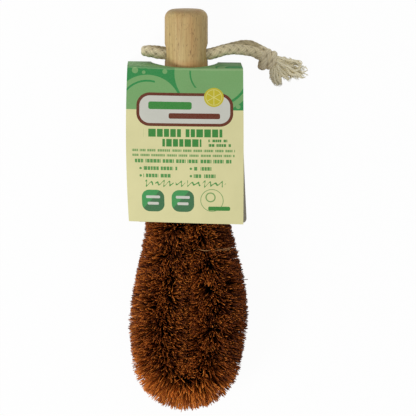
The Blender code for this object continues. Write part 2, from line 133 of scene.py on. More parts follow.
def addMesh(name, points, faces, material, uv=None, values=None, sharp=None, materialOf=None):
    # faces is a list of index arrays, three or four corners wide; uv has one pair a corner.
    mesh = bpy.data.meshes.new(name)
    corners = np.concatenate([f.ravel() for f in faces]).astype(np.int32)
    sizes = np.concatenate([np.full(len(f), f.shape[1]) for f in faces])
    mesh.vertices.add(len(points))
    mesh.vertices.foreach_set("co", np.asarray(points, np.float32).ravel())
    mesh.loops.add(len(corners))
    mesh.loops.foreach_set("vertex_index", corners)
    mesh.polygons.add(len(sizes))
    mesh.polygons.foreach_set("loop_start", np.append(0, np.cumsum(sizes)[:-1]).astype(np.int32))
    mesh.polygons.foreach_set("use_smooth", np.ones(len(sizes), bool))
    if materialOf is not None:
        mesh.polygons.foreach_set("material_index", np.asarray(materialOf, np.int32))
    mesh.update(calc_edges=True)
    if uv is not None:
        mesh.uv_layers.new(name="UVMap").data.foreach_set("uv", np.asarray(uv, np.float32).ravel())
    for key, data in (values or {}).items():
        layer = mesh.attributes.new(key, "FLOAT", "POINT")
        layer.data.foreach_set("value", np.asarray(data, np.float32).ravel())
    if sharp:
        mesh.set_sharp_from_angle(angle=math.radians(sharp))
    for m in material if isinstance(material, list) else [material]:
        mesh.materials.append(m)
    piece = bpy.data.objects.new(name, mesh)
    bpy.context.scene.collection.objects.link(piece)
    return piece


def ringQuads(rows, cols):
    # Row and column of each quad between rings of cols points, and its corners.
    i, j = np.meshgrid(np.arange(rows - 1), np.arange(cols), indexing="ij")
    n = (j + 1) % cols
    quads = np.stack([i * cols + j, (i + 1) * cols + j, (i + 1) * cols + n, i * cols + n], -1)
    return i, j, quads.reshape(-1, 4)


def tubeFaces(rows, cols):
    # Quads of a closed tube whose rings follow each other, and a fan to the pole at each end.
    i, j, quads = ringQuads(rows, cols)
    wide = np.stack([j, j, j + 1, j + 1], -1).ravel() / cols
    long = np.stack([i, i + 1, i + 1, i], -1).ravel() / (rows - 1)
    j = np.arange(cols)
    n = np.roll(j, -1)
    last, start = (rows - 1) * cols, rows * cols
    fans = np.vstack([xyz(start, j, n), xyz(start + 1, last + n, last + j)])
    fanUv = np.stack([np.repeat([0, 1], 3 * cols), (fans % cols).ravel() / cols], -1)
    return quads, fans, np.vstack([np.stack([long, wide], -1), fanUv])


def carryTube(line, radius, cols, up=upWay):
    # Ring of cols points at each place of the line: place + r (cos a side + sin a over).
    # radius is one number, one a row, or rows x cols. The two poles close the ends.
    side, over = lineFrame(line, up)
    a = turnsOf(cols)[:, None]
    r = np.broadcast_to(np.reshape(radius, (-1, 1)) if np.ndim(radius) < 2 else radius, (len(line), cols))
    points = line[:, None] + r[..., None] * (np.cos(a) * side[:, None] + np.sin(a) * over[:, None])
    return np.vstack([points.reshape(-1, 3), line[:1], line[-1:]])


def addTube(name, line, radius, cols, material=None):
    return addMesh(name, carryTube(line, radius, cols), list(tubeFaces(len(line), cols)[:2]), material)


def strands(name, lines, radii, material, values, sides=3, grow=None):
    # Many thin tapered tubes at once. lines is strands x rings x 3 and radii strands x rings; the last
    # ring shrinks to a point. values has one number for all, or one a strand. grow is the share of its
    # length at each ring, even where none is given.
    count, rings, _ = lines.shape
    side, over = lineFrame(lines, (0.13, 0.31, 0.94))      # a way that hardly any strand runs in
    a = turnsOf(sides)[:, None]
    ring = np.cos(a) * side[:, :-1, None] + np.sin(a) * over[:, :-1, None]
    body = lines[:, :-1, None] + radii[:, :-1, None, None] * ring
    size = (rings - 1) * sides + 1
    points = np.concatenate([body.reshape(count, -1, 3), lines[:, -1:]], axis=1).reshape(-1, 3)
    root = np.arange(sides)
    last = (rings - 2) * sides
    tips = xyz(size - 1, last + np.roll(root, -1), last + root)
    shift = (np.arange(count) * size)[:, None, None]
    parts = (ringQuads(rings - 1, sides)[2], tips, root[None])
    faces = [(part + shift).reshape(-1, part.shape[1]) for part in parts]
    grow = np.linspace(0, 1, rings) if grow is None else np.array(grow)
    data = {"along": np.tile(np.append(np.repeat(grow[:-1], sides), grow[-1]), count)}
    for key, value in values.items():
        data[key] = np.repeat(np.broadcast_to(value, count), size)
    return addMesh(name, points, faces, material, values=data)


def cutBy(piece, shapes, sharp):
    # Cuts the shapes out of the piece for good and removes them.
    for shape in shapes:
        cut = piece.modifiers.new("cut", "BOOLEAN")
        cut.solver = "EXACT"
        cut.object = shape
    mesh = bpy.data.meshes.new_from_object(piece.evaluated_get(bpy.context.evaluated_depsgraph_get()))
    piece.modifiers.clear()
    piece.data = mesh
    for shape in shapes:
        bpy.data.objects.remove(shape)
    mesh.shade_smooth()
    mesh.set_sharp_from_angle(angle=math.radians(sharp))


def placed(piece, nodeName=None):
    # Hides the node that the piece stands for, and puts the piece with the brush.
    if nodeName:
        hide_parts(nodeName)
    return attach(piece, "brush")


def colour(rgb):
    # Screen colour 0-255 to the linear values that a node wants.
    share = np.array(rgb) / 255
    linear = np.where(share <= 0.04045, share / 12.92, ((share + 0.055) / 1.055) ** 2.4)
    return (*linear.tolist(), 1.0)


class Field:
    # An output in a node tree that reckons like a number or a vector: each operator adds its math node.
    def __init__(self, tree, socket, kind="Math"):
        self.tree, self.socket, self.kind = tree, socket, kind

    def math(self, operation, *others, **settings):
        inputs = dict(enumerate((self, *others)))
        made = node(self.tree, "ShaderNode" + self.kind, inputs, operation=operation, **settings)
        if self.kind == "Math" or operation in ("LENGTH", "DOT_PRODUCT"):
            return Field(self.tree, made.outputs["Value"])
        return Field(self.tree, made.outputs["Vector"], self.kind)

    __add__ = lambda self, other: self.math("ADD", other)
    __sub__ = lambda self, other: self.math("SUBTRACT", other)
    __mul__ = lambda self, other: self.math("MULTIPLY", other)
    __truediv__ = lambda self, other: self.math("DIVIDE", other)
    __lt__ = lambda self, other: self.math("LESS_THAN", other)
    __gt__ = lambda self, other: self.math("GREATER_THAN", other)
    __abs__ = lambda self: self.math("ABSOLUTE")


def feed(made, inputs):
    # Links each input of a node to a field, or sets its value.
    for key, value in inputs.items():
        if isinstance(value, Field):
            value.tree.links.new(value.socket, made.inputs[key])
        else:
            made.inputs[key].default_value = value


def node(tree, kind, inputs, **settings):
    made = tree.nodes.new(kind)
    for key, value in settings.items():
        setattr(made, key, value)
    feed(made, inputs)
    return made


def field(tree, kind, inputs, output=0, **settings):
    # One output of a new node.
    return Field(tree, node(tree, kind, inputs, **settings).outputs[output])


def newMaterial(name):
    # The material, its shader, and the place on the object.
    material = bpy.data.materials.new(name)
    material.use_nodes = True
    tree = material.node_tree
    return material, tree.nodes["Principled BSDF"], field(tree, "ShaderNodeTexCoord", {}, "Object")


def attribute(beside, name):
    return field(beside.tree, "ShaderNodeAttribute", {}, "Fac", attribute_name=name)


def separate(vector):
    made = node(vector.tree, "ShaderNodeSeparateXYZ", {0: vector})
    return [Field(vector.tree, socket) for socket in made.outputs]


def mixed(share, a, b):
    # From a to b by the share; each is a field or a screen colour.
    a, b = (shade if isinstance(shade, Field) else colour(shade) for shade in (a, b))
    return field(share.tree, "ShaderNodeMix", {0: share, 6: a, 7: b}, 2, data_type="RGBA")


def laid(base, *layers):
    # Colours laid over the base one after the other, each (share, colour).
    for share, shade in layers:
        base = mixed(share, base, shade)
    return base


def ramp(value, *stops):
    # Each stop is (place, colour).
    made = node(value.tree, "ShaderNodeValToRGB", {0: value})
    elements = made.color_ramp.elements
    for _ in stops[2:]:
        elements.new(0.5)
    for element, (at, shade) in zip(elements, stops):
        element.position = at
        element.color = colour(shade)
    return Field(value.tree, made.outputs[0])


def span(value, low, high, toLow=0.0, toHigh=1.0):
    return field(value.tree, "ShaderNodeMapRange", {0: value, 1: low, 2: high, 3: toLow, 4: toHigh})


def noise(where, scale, detail=3.0, rough=0.55, stretch=(1.0, 1.0, 1.0)):
    moved = field(where.tree, "ShaderNodeMapping", {"Vector": where, "Scale": stretch})
    inputs = {"Vector": moved, "Scale": scale, "Detail": detail, "Roughness": rough}
    return field(where.tree, "ShaderNodeTexNoise", inputs)


def bump(height, strength, distance):
    inputs = {"Height": height, "Strength": strength, "Distance": distance}
    return field(height.tree, "ShaderNodeBump", inputs)


view = {"place": (0.0120, 0.2238, 1.5027), "tilt": -8.5, "lens": 221.9}

cameraData = bpy.data.cameras.new("camera")
cameraData.lens = view["lens"]
cameraData.sensor_width = 36
cameraData.clip_end = 20
camera = bpy.data.objects.new("camera", cameraData)
camera.location = view["place"]
camera.rotation_euler = (math.radians(view["tilt"]), 0, 0)
bpy.context.scene.collection.objects.link(camera)
bpy.context.scene.camera = camera
print("camera set")


cord = {
    "diameter": 0.0062,
    "step": 0.00025,
    "cols": 48,
    "strandsEachWay": 3,
    "pitch": 0.0165,        # one turn of a strand round the cord
    "relief": 0.24,         # depth of the gaps as a share of the radius
    "swell": 1.04,          # strands stand this much past the radius
    # The gap colour is painted shade in the braid's grooves, and the last colour painted shade where the
    # cord lies low on the table.
    "lit": (244, 228, 182), "gap": (136, 116, 72), "fuzz": (236, 228, 205), "lowShade": (142, 124, 86),
    "lowShadeRun": (0.0085, 0.0052),     # height where the painted shade low on the table starts, and where it is full
    # routes from the middle of the cross hole: x and y in millimetres, and the share of the way up from
    # the table to the hole
    "right": [
        (0.2, -1.4, 1), (6.5, -1.5, 1), (12.5, -1.4, 1), (16, -0.8, 0.99), (19.5, 0.3, 0.955),
        (23, 1.1, 0.885), (26.5, 1.4, 0.79), (30, 1.2, 0.69), (33.5, 0.7, 0.605), (37, 0.1, 0.53),
        (40.2, -0.9, 0.46), (43, -2.6, 0.4),
    ],
    "left": [
        (-0.2, -1.4, 1), (-6.5, -1.4, 1), (-12.5, -1.2, 1), (-16.2, -0.8, 0.99), (-20.1, -0.2, 0.86),
        (-22.8, 0.1, 0.67), (-23.7, 0.1, 0.5), (-22.9, 0.1, 0.33), (-20.2, -0.1, 0.14),
        (-16.3, -0.6, 0.015), (-11, -1.3, 0), (0, -2.1, 0), (10.5, -2.4, 0), (16, -1.5, 0),
        (20.8, -0.1, 0), (25.5, 1.1, 0), (30, 2.2, 0), (33.7, 2.8, 0), (37.2, 2.6, 0), (40.5, 1.3, 0),
        (43.4, -0.4, 0.02),
    ],
}


def cottonMaterial(name, lit, gap, yarns, lowShadeShare=0.0):
    # Cream cotton: painted shade in the gaps between the strands and along fine yarn lines across each
    # strand,
    #     # soft blotches and fibre noise, and a share of painted shade where it lies low on the table.
    material, shader, where = newMaterial(name)
    lines = (attribute(where, "across") * (2 * math.pi * yarns)).math("SINE")
    fuzz = noise(where, 2600, 4)
    base = laid(
        # From the gap colour, painted shade in the grooves, up to the lit colour on the strands' tops; the
        # yarn lines get the same painted shade.
        ramp(attribute(where, "height"), (0.1, gap), (0.60, lit)),
        (span(lines, -1, 0.2, 0.32, 0), gap),
        (span(noise(where, 170, 3), 0.35, 0.7, 0, 0.3), 0.55 * np.array(lit) + 0.45 * np.array(gap)),
        (span(fuzz, 0.35, 0.65, 0.0, 0.3), cord["fuzz"]))
    # Painted shade where the cord lies low on the table, growing as it sinks.
    if lowShadeShare:
        base = mixed(span(separate(where)[2], *cord["lowShadeRun"], 0, lowShadeShare), base, cord["lowShade"])
    feed(shader, {"Base Color": base, "Roughness": 0.92, "Sheen Weight": 0.25, "Sheen Roughness": 0.5,
                  "Normal": bump(lines * 0.35 + fuzz, 0.6, 0.00025)})
    return material


def braid(along, around, each, pitch, crown=3.8, rise=0.5):
    # Two families of strands run round the cord opposite ways, u = each (around - along / pitch) and
    # v = each (around + along / pitch), and pass over and under by turns. A strand's height is the ridge
    # sqrt(1 - crown across^2) with a cosine of the size rise; the higher family shows. Gives the height,
    # 0 to 1, and the place across the strand, -0.5 to 0.5.
    u, v = each * (around - along / pitch), each * (around + along / pitch)
    overU, overV = u - np.round(u), v - np.round(v)
    first = np.sqrt(1 - crown * overU ** 2) + rise * np.cos(np.pi * (np.round(u) + v))
    second = np.sqrt(1 - crown * overV ** 2) - rise * np.cos(np.pi * (u + np.round(v)))
    height = (np.maximum(first, second) - 0.35) / 1.15      # from the bottom of a gap to the highest back
    return np.clip(height, 0, 1), np.where(first > second, overU, overV)


def braidedTube(line, radius, spec, up=upWay):
    # A round tube whose radius sinks by the relief between the strands.
    cols = spec["cols"]
    around = np.arange(cols)[None] / cols
    height, across = braid(lengthAlong(line)[:, None], around, spec["strandsEachWay"], spec["pitch"])
    r = np.reshape(radius, (-1, 1)) * (spec["swell"] - spec["relief"] * (1 - height))
    quads, fans, uv = tubeFaces(len(line), cols)
    values = {"height": np.append(height, [0.5, 0.5]), "across": np.append(across, [0.5, 0.5])}
    return carryTube(line, r, cols, up), [quads, fans], uv, values


def joined(parts):
    # Several (points, faces, uv, values) as one.
    quads, fans, quadUv, fanUv = [], [], [], []
    first = 0
    for points, (q, f), uv, _ in parts:
        quads.append(q + first)
        fans.append(f + first)
        quadUv.append(uv[:q.size])
        fanUv.append(uv[q.size:])
        first += len(points)
    values = {key: np.concatenate([part[3][key] for part in parts]) for key in ("height", "across")}
    points = np.vstack([part[0] for part in parts])
    return points, [np.vstack(quads), np.vstack(fans)], np.vstack(quadUv + fanUv), values


def makeCord(side, nodeName):
    x, y, share = np.transpose(cord[side])
    z = place["cordLieZ"] + share * (place["handleZ"] - place["cordLieZ"])
    line = smoothLine(xyz(place["handleX"] + x / 1000, place["holeY"] + y / 1000, z), cord["step"])
    points, faces, uv, values = braidedTube(line, cord["diameter"] / 2, cord, up=(0.0, 1.0, 0.0))
    piece = addMesh("cord" + side.capitalize(), points, faces, cordCotton, uv, values)
    return placed(piece, nodeName), line


cordCotton = cottonMaterial("cordCotton", cord["lit"], cord["gap"], 3, lowShadeShare=0.5)
cordRight, rightLine = makeCord("right", "hanging_cord_right")
cordLeft, leftLine = makeCord("left", "hanging_cord_left")
print("cord laid")


knot = {
    # of the first and of the second wrap, in millimetres: its middle, and its half length, half height
    # and radius
    "middles": ((49.3, 87.7, 6.0), (45.2, 88.2, 6.2)),
    "sizes": ((3.5, 3.2, 2.2), (4.1, 3.4, 2.6)),
    "lengthwise": (-0.24, -0.97, 0.0),
    "start": -0.34, "end": 1.52,      # in turns, the first top at 0 and the second at 1
    "rows": 320,
    "thinEnd": 0.4, "thinRows": 26,   # the wraps' ends are this thin and thicken over these rows
    "tableGap": 0.0003,
    "stretched": {"pitch": 0.021, "cols": 44, "relief": 0.16},
    "routeRelief": 0.2,
    # the cord's two ends on their way through the knot, each with its radius
    "front": (
        0.0030, [(41, 91.8, 10.2), (42.8, 90.6, 9.4), (45, 89, 8), (48.5, 87.7, 6.4), (51.5, 86.6, 6)]),
    "behind": (0.0029, [(41.2, 93.6, 3.6), (43.4, 93, 3.8), (46, 91.4, 4.8), (48.8, 89.2, 5.8)]),
    # Paler than the cord's cotton: painted light that makes up for the shade the sleeve and handle cast on
    # the knot; the gap colour is painted shade in the grooves.
    "lit": (248, 233, 194), "gap": (146, 124, 82),
}


def knotParts(spec):
    # Wraps: middle + halfLength sin a lengthwise + halfHeight cos a up. The middle slides from the
    # first wrap to the second as a grows, so the turns lie side by side and slant.
    turns = np.linspace(spec["start"], spec["end"], spec["rows"])
    share = np.clip(turns, -0.1, 1.12)[:, None]
    pairs = (metres(spec["middles"]), metres(spec["sizes"]))
    middle, size = (first * (1 - share) + second * share for first, second in pairs)
    a = 2 * np.pi * turns[:, None]
    lengthwise = np.array(spec["lengthwise"])
    wraps = middle + size[:, :1] * np.sin(a) * lengthwise + size[:, 1:2] * np.cos(a) * upWay
    thick = size[:, 2]
    wraps[:, 2] = np.maximum(wraps[:, 2], thick + spec["tableGap"])
    row = np.arange(spec["rows"])
    thick = thick * np.minimum(1, spec["thinEnd"] + np.minimum(row, row[::-1]) / spec["thinRows"])
    stretched = {**cord, **spec["stretched"]}
    parts = [braidedTube(wraps, thick, stretched, up=np.cross(lengthwise, upWay))]
    for radius, route in (spec["front"], spec["behind"]):
        line = smoothLine(metres(route), 0.0003)
        parts.append(braidedTube(line, radius, {**stretched, "relief": spec["routeRelief"]}))
    return joined(parts)


points, faces, uv, values = knotParts(knot)
knotCotton = cottonMaterial("knotCotton", knot["lit"], knot["gap"], 3)
cordKnot = placed(addMesh("cordKnot", points, faces, knotCotton, uv, values), "cord_knot")
print("knot tied")


fray = {
    "fanRoot": (0.0520, 0.0868, 0.0064),
    # reach of the fan in millimetres by the angle of a yarn, in degrees from +X
    "angles": (-72, -69, -63, -58, -48, -45, -35, -32, -25, -16, -11, -7, 0, 6),
    "reaches": (9.6, 11.2, 12.4, 13.9, 14.6, 16.9, 17.2, 18.9, 20.1, 19.2, 17.2, 14.8, 10.0, 8.0),
    "fanFrom": -71,                  # its lowest yarn, in degrees; the highest is at 0
    # where it leaves the knot: half width, how far a yarn strays from its place, and heights
    "bunchHalfWidth": 0.0024, "bunchStray": 0.0005, "bunchHeights": (-0.0028, 0.0020),
    "leanBy": 0.85, "leanOff": -0.17,    # a yarn starts at this much of its angle, turned by so many radians
    "endTurn": 0.5,                      # spread of its last direction
    "steep": ((0.05, 0.25), (-0.1, 0.25)),      # mean and spread of how it rises at its root and its tip
    "handles": (0.4, 0.36),              # length of its two Bezier handles, as a share of its reach
    "shortest": (0.72, 0.45), "longest": 0.98,      # share of the reach: yarns, threads, and both
    "fanWave": 0.0009, "lockWave": 0.0005, "waveTurns": (0.8, 2.6), "waveRise": 0.6,
    "liftYarn": 0.0007, "liftThread": 0.0003, "liftSoft": 0.0004,    # least height over the table
    "tipHeights": (0.0009, 0.0044),
    "fanYarns": 36,
    "fanThreads": 60,                # thinner ones between the yarns
    # the lock's four Bezier places in millimetres: middle, half width and half depth
    "lock": (
        ((51.2, 86.2, 5.8), 1.5, 1.4), ((50.5, 81.2, 6.6), 2.3, 1.4), ((50.7, 77.2, 5.6), 3.1, 1.6),
        ((53.1, 73.5, 3.0), 2.2, 1.3)),
    "lockSpread": 0.9, "lockStray": 0.12,       # shares of its half width
    "bluntness": 0.0006,             # how unevenly it ends
    "lockYarns": 12,
    "lockThreads": 40,
    "yarnRadius": 0.00078, "threadRadius": 0.0002, "curlRadius": 0.00034,
    "yarnRings": 48, "threadRings": 22, "yarnSides": 10,
    "plies": (0.72, 0.3), "plyPitch": 0.0026,       # a yarn's core and its lobes, as shares of its radius
    "tipThins": 0.55, "tipFrom": 0.86,
    "hairsEach": 6, "hairLength": 0.0024, "hairSpread": 0.34, "hairRadius": 0.00008, "hairRings": 6,
    "hairRooted": 0.0008,            # how far back from the tip the hairs start
    # Paler still, near white: painted light that makes up for the shade the sleeve and handle cast on the
    # frayed ends; the second colour of each is painted shade between the plies.
    "yarn": ((255, 247, 213), (230, 210, 166)), "hair": ((255, 250, 225), (240, 226, 190)),   # lit, gaps
    "seed": 7,
    # loose threads that stand out of the fan, and their curls, in millimetres
    "strays": [
        [(56, 86.2, 6), (59, 87.2, 6.4), (60.8, 86.8, 6), (60.6, 88.4, 5.6), (59.5, 89, 5.4)],
        [(58, 85, 6), (61.2, 86.6, 6.2), (64, 87.4, 5.6), (66.4, 86.8, 4.8), (67, 85.3, 4.2),
         (65.2, 84.6, 4)],
        [(64, 83, 4), (66.8, 83.6, 4), (69, 83.2, 3.4), (70.4, 81.8, 2.8)],
        [(64, 81, 3.6), (67.2, 80.4, 3.6), (69, 80.6, 3), (70.6, 81.5, 2.4)],
        [(64, 80, 3), (67.4, 79.6, 2.8), (69.4, 79, 2.2), (70.9, 78.2, 1.8)],
        [(63, 78.6, 3), (66, 77.6, 2.6), (68.8, 77, 2)],
    ],
}


def bezier(a, b, c, d, count):
    # Cubic curves, one a row: each point is the four corners weighed by the cubic terms of t.
    t = np.linspace(0, 1, count)[None, :, None]
    a, b, c, d = (p[:, None] for p in (a, b, c, d))
    return a * (1 - t) ** 3 + 3 * b * t * (1 - t) ** 2 + 3 * c * t ** 2 * (1 - t) + d * t ** 3


def yarnMesh(name, lines, radii, material):
    # Twisted two-ply yarns: r = radius (core + lobe |cos(a - 2 pi s / pitch)|), s the length along.
    core, lobe = fray["plies"]
    cols = fray["yarnSides"]
    parts = []
    for line, radius in zip(lines, radii):
        s = lengthAlong(line)[:, None]
        lobes = np.abs(np.cos(turnsOf(cols)[None] - 2 * np.pi * s / fray["plyPitch"]))
        taper = 1 - fray["tipThins"] * smoothStep((s / s[-1] - fray["tipFrom"]) / (1 - fray["tipFrom"]))
        quads, fans, uv = tubeFaces(len(line), cols)
        values = {"height": np.append(lobes, [1, 1]), "across": np.append(lobes * 0.5, [0, 0])}
        points = carryTube(line, radius * taper * (core + lobe * lobes), cols)
        parts.append((points, [quads, fans], uv, values))
    points, faces, uv, values = joined(parts)
    return addMesh(name, points, faces, material, uv, values)


def wavy(lines, chance, size):
    # Adds to each line a sideways and an up-and-down sine that grows from its root.
    count, rings, _ = lines.shape
    t = np.linspace(0, 1, rings)[None]
    across = unit(np.cross(lines[:, -1] - lines[:, 0], upWay))
    for way, share in ((across, 1.0), (upWay[None], fray["waveRise"])):
        turns = chance.uniform(*fray["waveTurns"], (count, 1))
        phase = chance.uniform(0, 2 * np.pi, (count, 1))
        high = size * share * chance.uniform(0.3, 1.0, (count, 1))
        swing = high * np.sin(2 * np.pi * turns * t + phase) * smoothStep(t * 1.6)
        lines = lines + swing[..., None] * way[:, None]
    return lines


def fanLines(spec, chance, count, short, rings):
    # Each yarn leaves the knot bunched, spreads to its own angle and droops to the table.
    angle = np.radians(np.sort(chance.uniform(spec["fanFrom"], 0, count)))
    reach = np.interp(np.degrees(angle), spec["angles"], metres(spec["reaches"]))
    reach = reach * chance.uniform(short, spec["longest"], count)
    root = np.array(spec["fanRoot"])
    wide = np.interp(np.degrees(angle), (spec["fanFrom"], 0), (-1, 1)) * spec["bunchHalfWidth"]
    wide = wide + chance.normal(0, spec["bunchStray"], count)
    start = root + xyz(0, wide, chance.uniform(*spec["bunchHeights"], count))
    tip = root + xyz(reach * np.cos(angle), reach * np.sin(angle), 0)
    tip[:, 2] = chance.uniform(*spec["tipHeights"], count)
    lean = angle * spec["leanBy"] + spec["leanOff"]
    bend = angle + chance.normal(0, spec["endTurn"], count)
    out = xyz(np.cos(lean), np.sin(lean), chance.normal(*spec["steep"][0], count))
    back = xyz(np.cos(bend), np.sin(bend), chance.normal(*spec["steep"][1], count))
    first, last = (reach[:, None] * share for share in spec["handles"])
    return bezier(start, start + out * first, tip - back * last, tip, rings)


def lockLines(spec, chance, count, rings):
    # Yarns that stay together: out of the knot, a bulge halfway, and a blunt end.
    wide = np.linspace(-1, 1, count) * spec["lockSpread"] + chance.normal(0, spec["lockStray"], count)
    deep = chance.uniform(-1, 1, count)
    corners = [metres(middle) + xyz(wide * across / 1000, 0, deep * tall / 1000)
               for middle, across, tall in spec["lock"]]
    corners[-1][:, 1] += chance.normal(0, spec["bluntness"], count)
    return bezier(*corners, rings)


def hairs(lines, spec, chance):
    # Fine fibres that leave each yarn near its tip, turned a little off its way.
    tips, before = (np.repeat(lines[:, k], spec["hairsEach"], axis=0) for k in (-1, -5))
    way = unit(unit(tips - before) + chance.normal(0, spec["hairSpread"], tips.shape) * [1, 1, 0.5])
    size = chance.uniform(0.35, 1.0, len(tips))[:, None] * spec["hairLength"]
    bent = unit(way + chance.normal(0, 0.9, tips.shape) * [1, 1, 0.4])
    start = tips - way * spec["hairRooted"]
    end = start + (way + 0.7 * bent) * size * 0.62
    made = bezier(start, start + way * size * 0.4, start + way * size * 0.7, end, spec["hairRings"])
    made[..., 2] = softMax(made[..., 2], 0.0003, 0.0002)
    return made, np.full(made.shape[:2], spec["hairRadius"]) * np.linspace(1, 0.6, spec["hairRings"])


frayCotton = cottonMaterial("frayCotton", *fray["yarn"], 1)
hairCotton = cottonMaterial("hairCotton", *fray["hair"], 1)
chance = np.random.default_rng(fray["seed"])
frayed = []
# name, node, yarns, threads and how far they wave
kinds = (
    ("frayFan", "frayed_end_fan",
     fanLines(fray, chance, fray["fanYarns"], fray["shortest"][0], fray["yarnRings"]),
     fanLines(fray, chance, fray["fanThreads"], fray["shortest"][1], fray["threadRings"]), fray["fanWave"]),
    ("frayLock", "frayed_end_lock", lockLines(fray, chance, fray["lockYarns"], fray["yarnRings"]),
     lockLines(fray, chance, fray["lockThreads"], fray["threadRings"]), fray["lockWave"]),
)
plain = {"height": 1.0, "across": 0.0}
for name, nodeName, lines, threads, wave in kinds:
    lines, threads = wavy(lines, chance, wave), wavy(threads, chance, wave * 1.3)
    for each, least in ((lines, fray["liftYarn"]), (threads, fray["liftThread"])):
        each[..., 2] = softMax(each[..., 2], least, fray["liftSoft"])
    yarns = yarnMesh(name, lines, fray["yarnRadius"] * chance.uniform(0.8, 1.2, len(lines)), frayCotton)
    thin = fray["threadRadius"] * chance.uniform(0.7, 1.3, (len(threads), 1))
    thin = thin * np.linspace(1, 0.6, fray["threadRings"])
    loose = strands(name + "Threads", threads, thin, hairCotton, plain, 5)
    hairLines, hairRadii = hairs(np.concatenate([lines[:, -20:], threads[:, -20:]]), fray, chance)
    tuft = strands(name + "Hairs", hairLines, hairRadii, hairCotton, plain)
    frayed.append(placed(yarns, nodeName))
    frayed += [placed(loose), placed(tuft)]
routes = [smoothLine(metres(route), 0.0003) for route in fray["strays"]]
curls = yarnMesh("frayStrays", routes, np.full(len(routes), fray["curlRadius"]), frayCotton)
frayed.append(placed(curls))

print("frayed ends spread")


handle = {
    "radius": 0.0125,
    "endRound": 0.0045,
    "crown": 0.0009,         # how far the end falls off from its middle to its rim
    "footChamfer": 0.0012,
    "sides": 144,
    "rings": (5, 12, 40),    # over the end, its round and the straight part
    "holeRadius": 0.00475,
    "holeFlare": 0.0006,     # how much the mouth widens, over flareRun
    "flareRun": 0.0015,
    "holeX": (-0.018, -0.0135, -0.0118, -0.0108, 0.0108, 0.0118, 0.0135, 0.018),
    "stemHole": (0.00205, 0.006, 0.024),   # radius, from the axis, depth
    "sharp": 38,             # degrees between faces from which an edge stays sharp
    "light": (209, 185, 125), "mid": (196, 168, 110), "dark": (174, 142, 86),
    "broad": (198, 146, 94), "fine": (148, 114, 66), "pore": (104, 72, 36), "fleck": (92, 68, 40),
    # A warm painted shade next to the sleeve, where the card's shadow falls on the wood,
    "sleeveShade": (184, 122, 60), "sleeveShadeRun": (0.0905, 0.0862),     # and the places along Y where it grows
    # The end's darker colour: its end grain, and painted shade that offsets the lamp behind the end.
    "endGrainAndShade": (140, 112, 76), "endGrainAndShadeRun": (0.1158, 0.1180),
}


def woodMaterial(spec):
    # Pale hardwood: long streaks along Y, fine dark pores, a warm painted shade towards the sleeve, an end
    # darker for its end grain and for painted shade.
    material, shader, where = newMaterial("dowelWood")
    streak = noise(where, 1.0, 5, 0.6, (620, 26, 620))
    fine = noise(where, 1.0, 4, 0.6, (2600, 90, 2600))
    broad = noise(where, 1.0, 2, 0.5, (150, 12, 150))
    pores = noise(where, 1.0, 2, 0.5, (2300, 340, 2300))
    flecks = noise(where, 1.0, 1, 0.5, (1000, 300, 1000))
    y = separate(where)[1]
    base = laid(
        ramp(streak, (0.28, spec["dark"]), (0.46, spec["mid"]), (0.68, spec["light"])),
        (span(broad, 0.48, 0.72, 0, 0.5), spec["broad"]),
        (span(fine, 0.42, 0.75, 0, 0.5), spec["fine"]),
        (span(pores, 0.61, 0.68, 0, 0.6), spec["pore"]),
        (span(flecks, 0.70, 0.76, 0, 0.5), spec["fleck"]),
        # painted shade next to the sleeve, then the end's darker colour: end grain and painted shade
        (span(y, *spec["sleeveShadeRun"], 0, 0.5), spec["sleeveShade"]),
        (span(y, *spec["endGrainAndShadeRun"], 0, 0.4), spec["endGrainAndShade"]))
    height = fine * 0.5 - span(pores, 0.66, 0.76, 0, 0.6)
    feed(shader, {"Base Color": base, "Roughness": span(streak, 0.3, 0.7, 0.62, 0.5),
                  "Normal": bump(height, 0.35, 0.0003)})
    return material


def makeHandle(spec):
    # Turned profile: a crowned end, y = end - crown (r / radius)^2, with a quarter round, then
    # straight, and a small chamfer at the foot. It is cut by the cross hole and the wires' two holes.
    crownRings, roundRings, bodyRings = spec["rings"]
    a = np.linspace(0, np.pi / 2, roundRings)
    radius, endRound, chamfer, sides = (spec[key] for key in ("radius", "endRound", "footChamfer", "sides"))
    endY, footY = place["handleEndY"], place["handleFootY"]
    r = np.linspace(0.02, 0.85, crownRings) * (radius - endRound)
    r = np.append(r, radius - endRound * (1 - np.sin(a)))
    y = np.append(np.full(crownRings, endY), endY - endRound * (1 - np.cos(a)))
    y = y - spec["crown"] * (r / radius) ** 2
    y = np.concatenate([y, np.linspace(y[-1], footY + chamfer, bodyRings)[1:], [footY, footY]])
    r = np.concatenate([r, np.full(bodyRings - 1, radius), [radius - chamfer, 0.001]])
    line = xyz(place["handleX"], y, place["handleZ"])
    ring = turnsOf(sides)
    points = line[:, None] + r[:, None, None] * xyz(-np.cos(ring), 0, np.sin(ring))
    points = np.vstack([points.reshape(-1, 3), line[:1], line[-1:]])
    quads, fans, uv = tubeFaces(len(y), sides)
    piece = addMesh("handleDowel", points, [quads, fans], woodMaterial(spec), uv)
    x = np.array(spec["holeX"])
    wide = spec["holeRadius"] + spec["holeFlare"] * np.clip((abs(x) - abs(x).min()) / spec["flareRun"], 0, 1)
    shapes = [addTube("crossHole", xyz(place["handleX"] + x, place["holeY"], place["handleZ"]), wide, 48)]
    size, off, depth = spec["stemHole"]
    for way in (1, -1):
        line = xyz(place["handleX"] + way * off, footY + np.array([-0.003, depth]), place["handleZ"])
        shapes.append(addTube("stemHole", line, size, 32))
    cutBy(piece, shapes, spec["sharp"])
    return placed(piece, "handle")


makeHandle(handle)
print("handle turned")


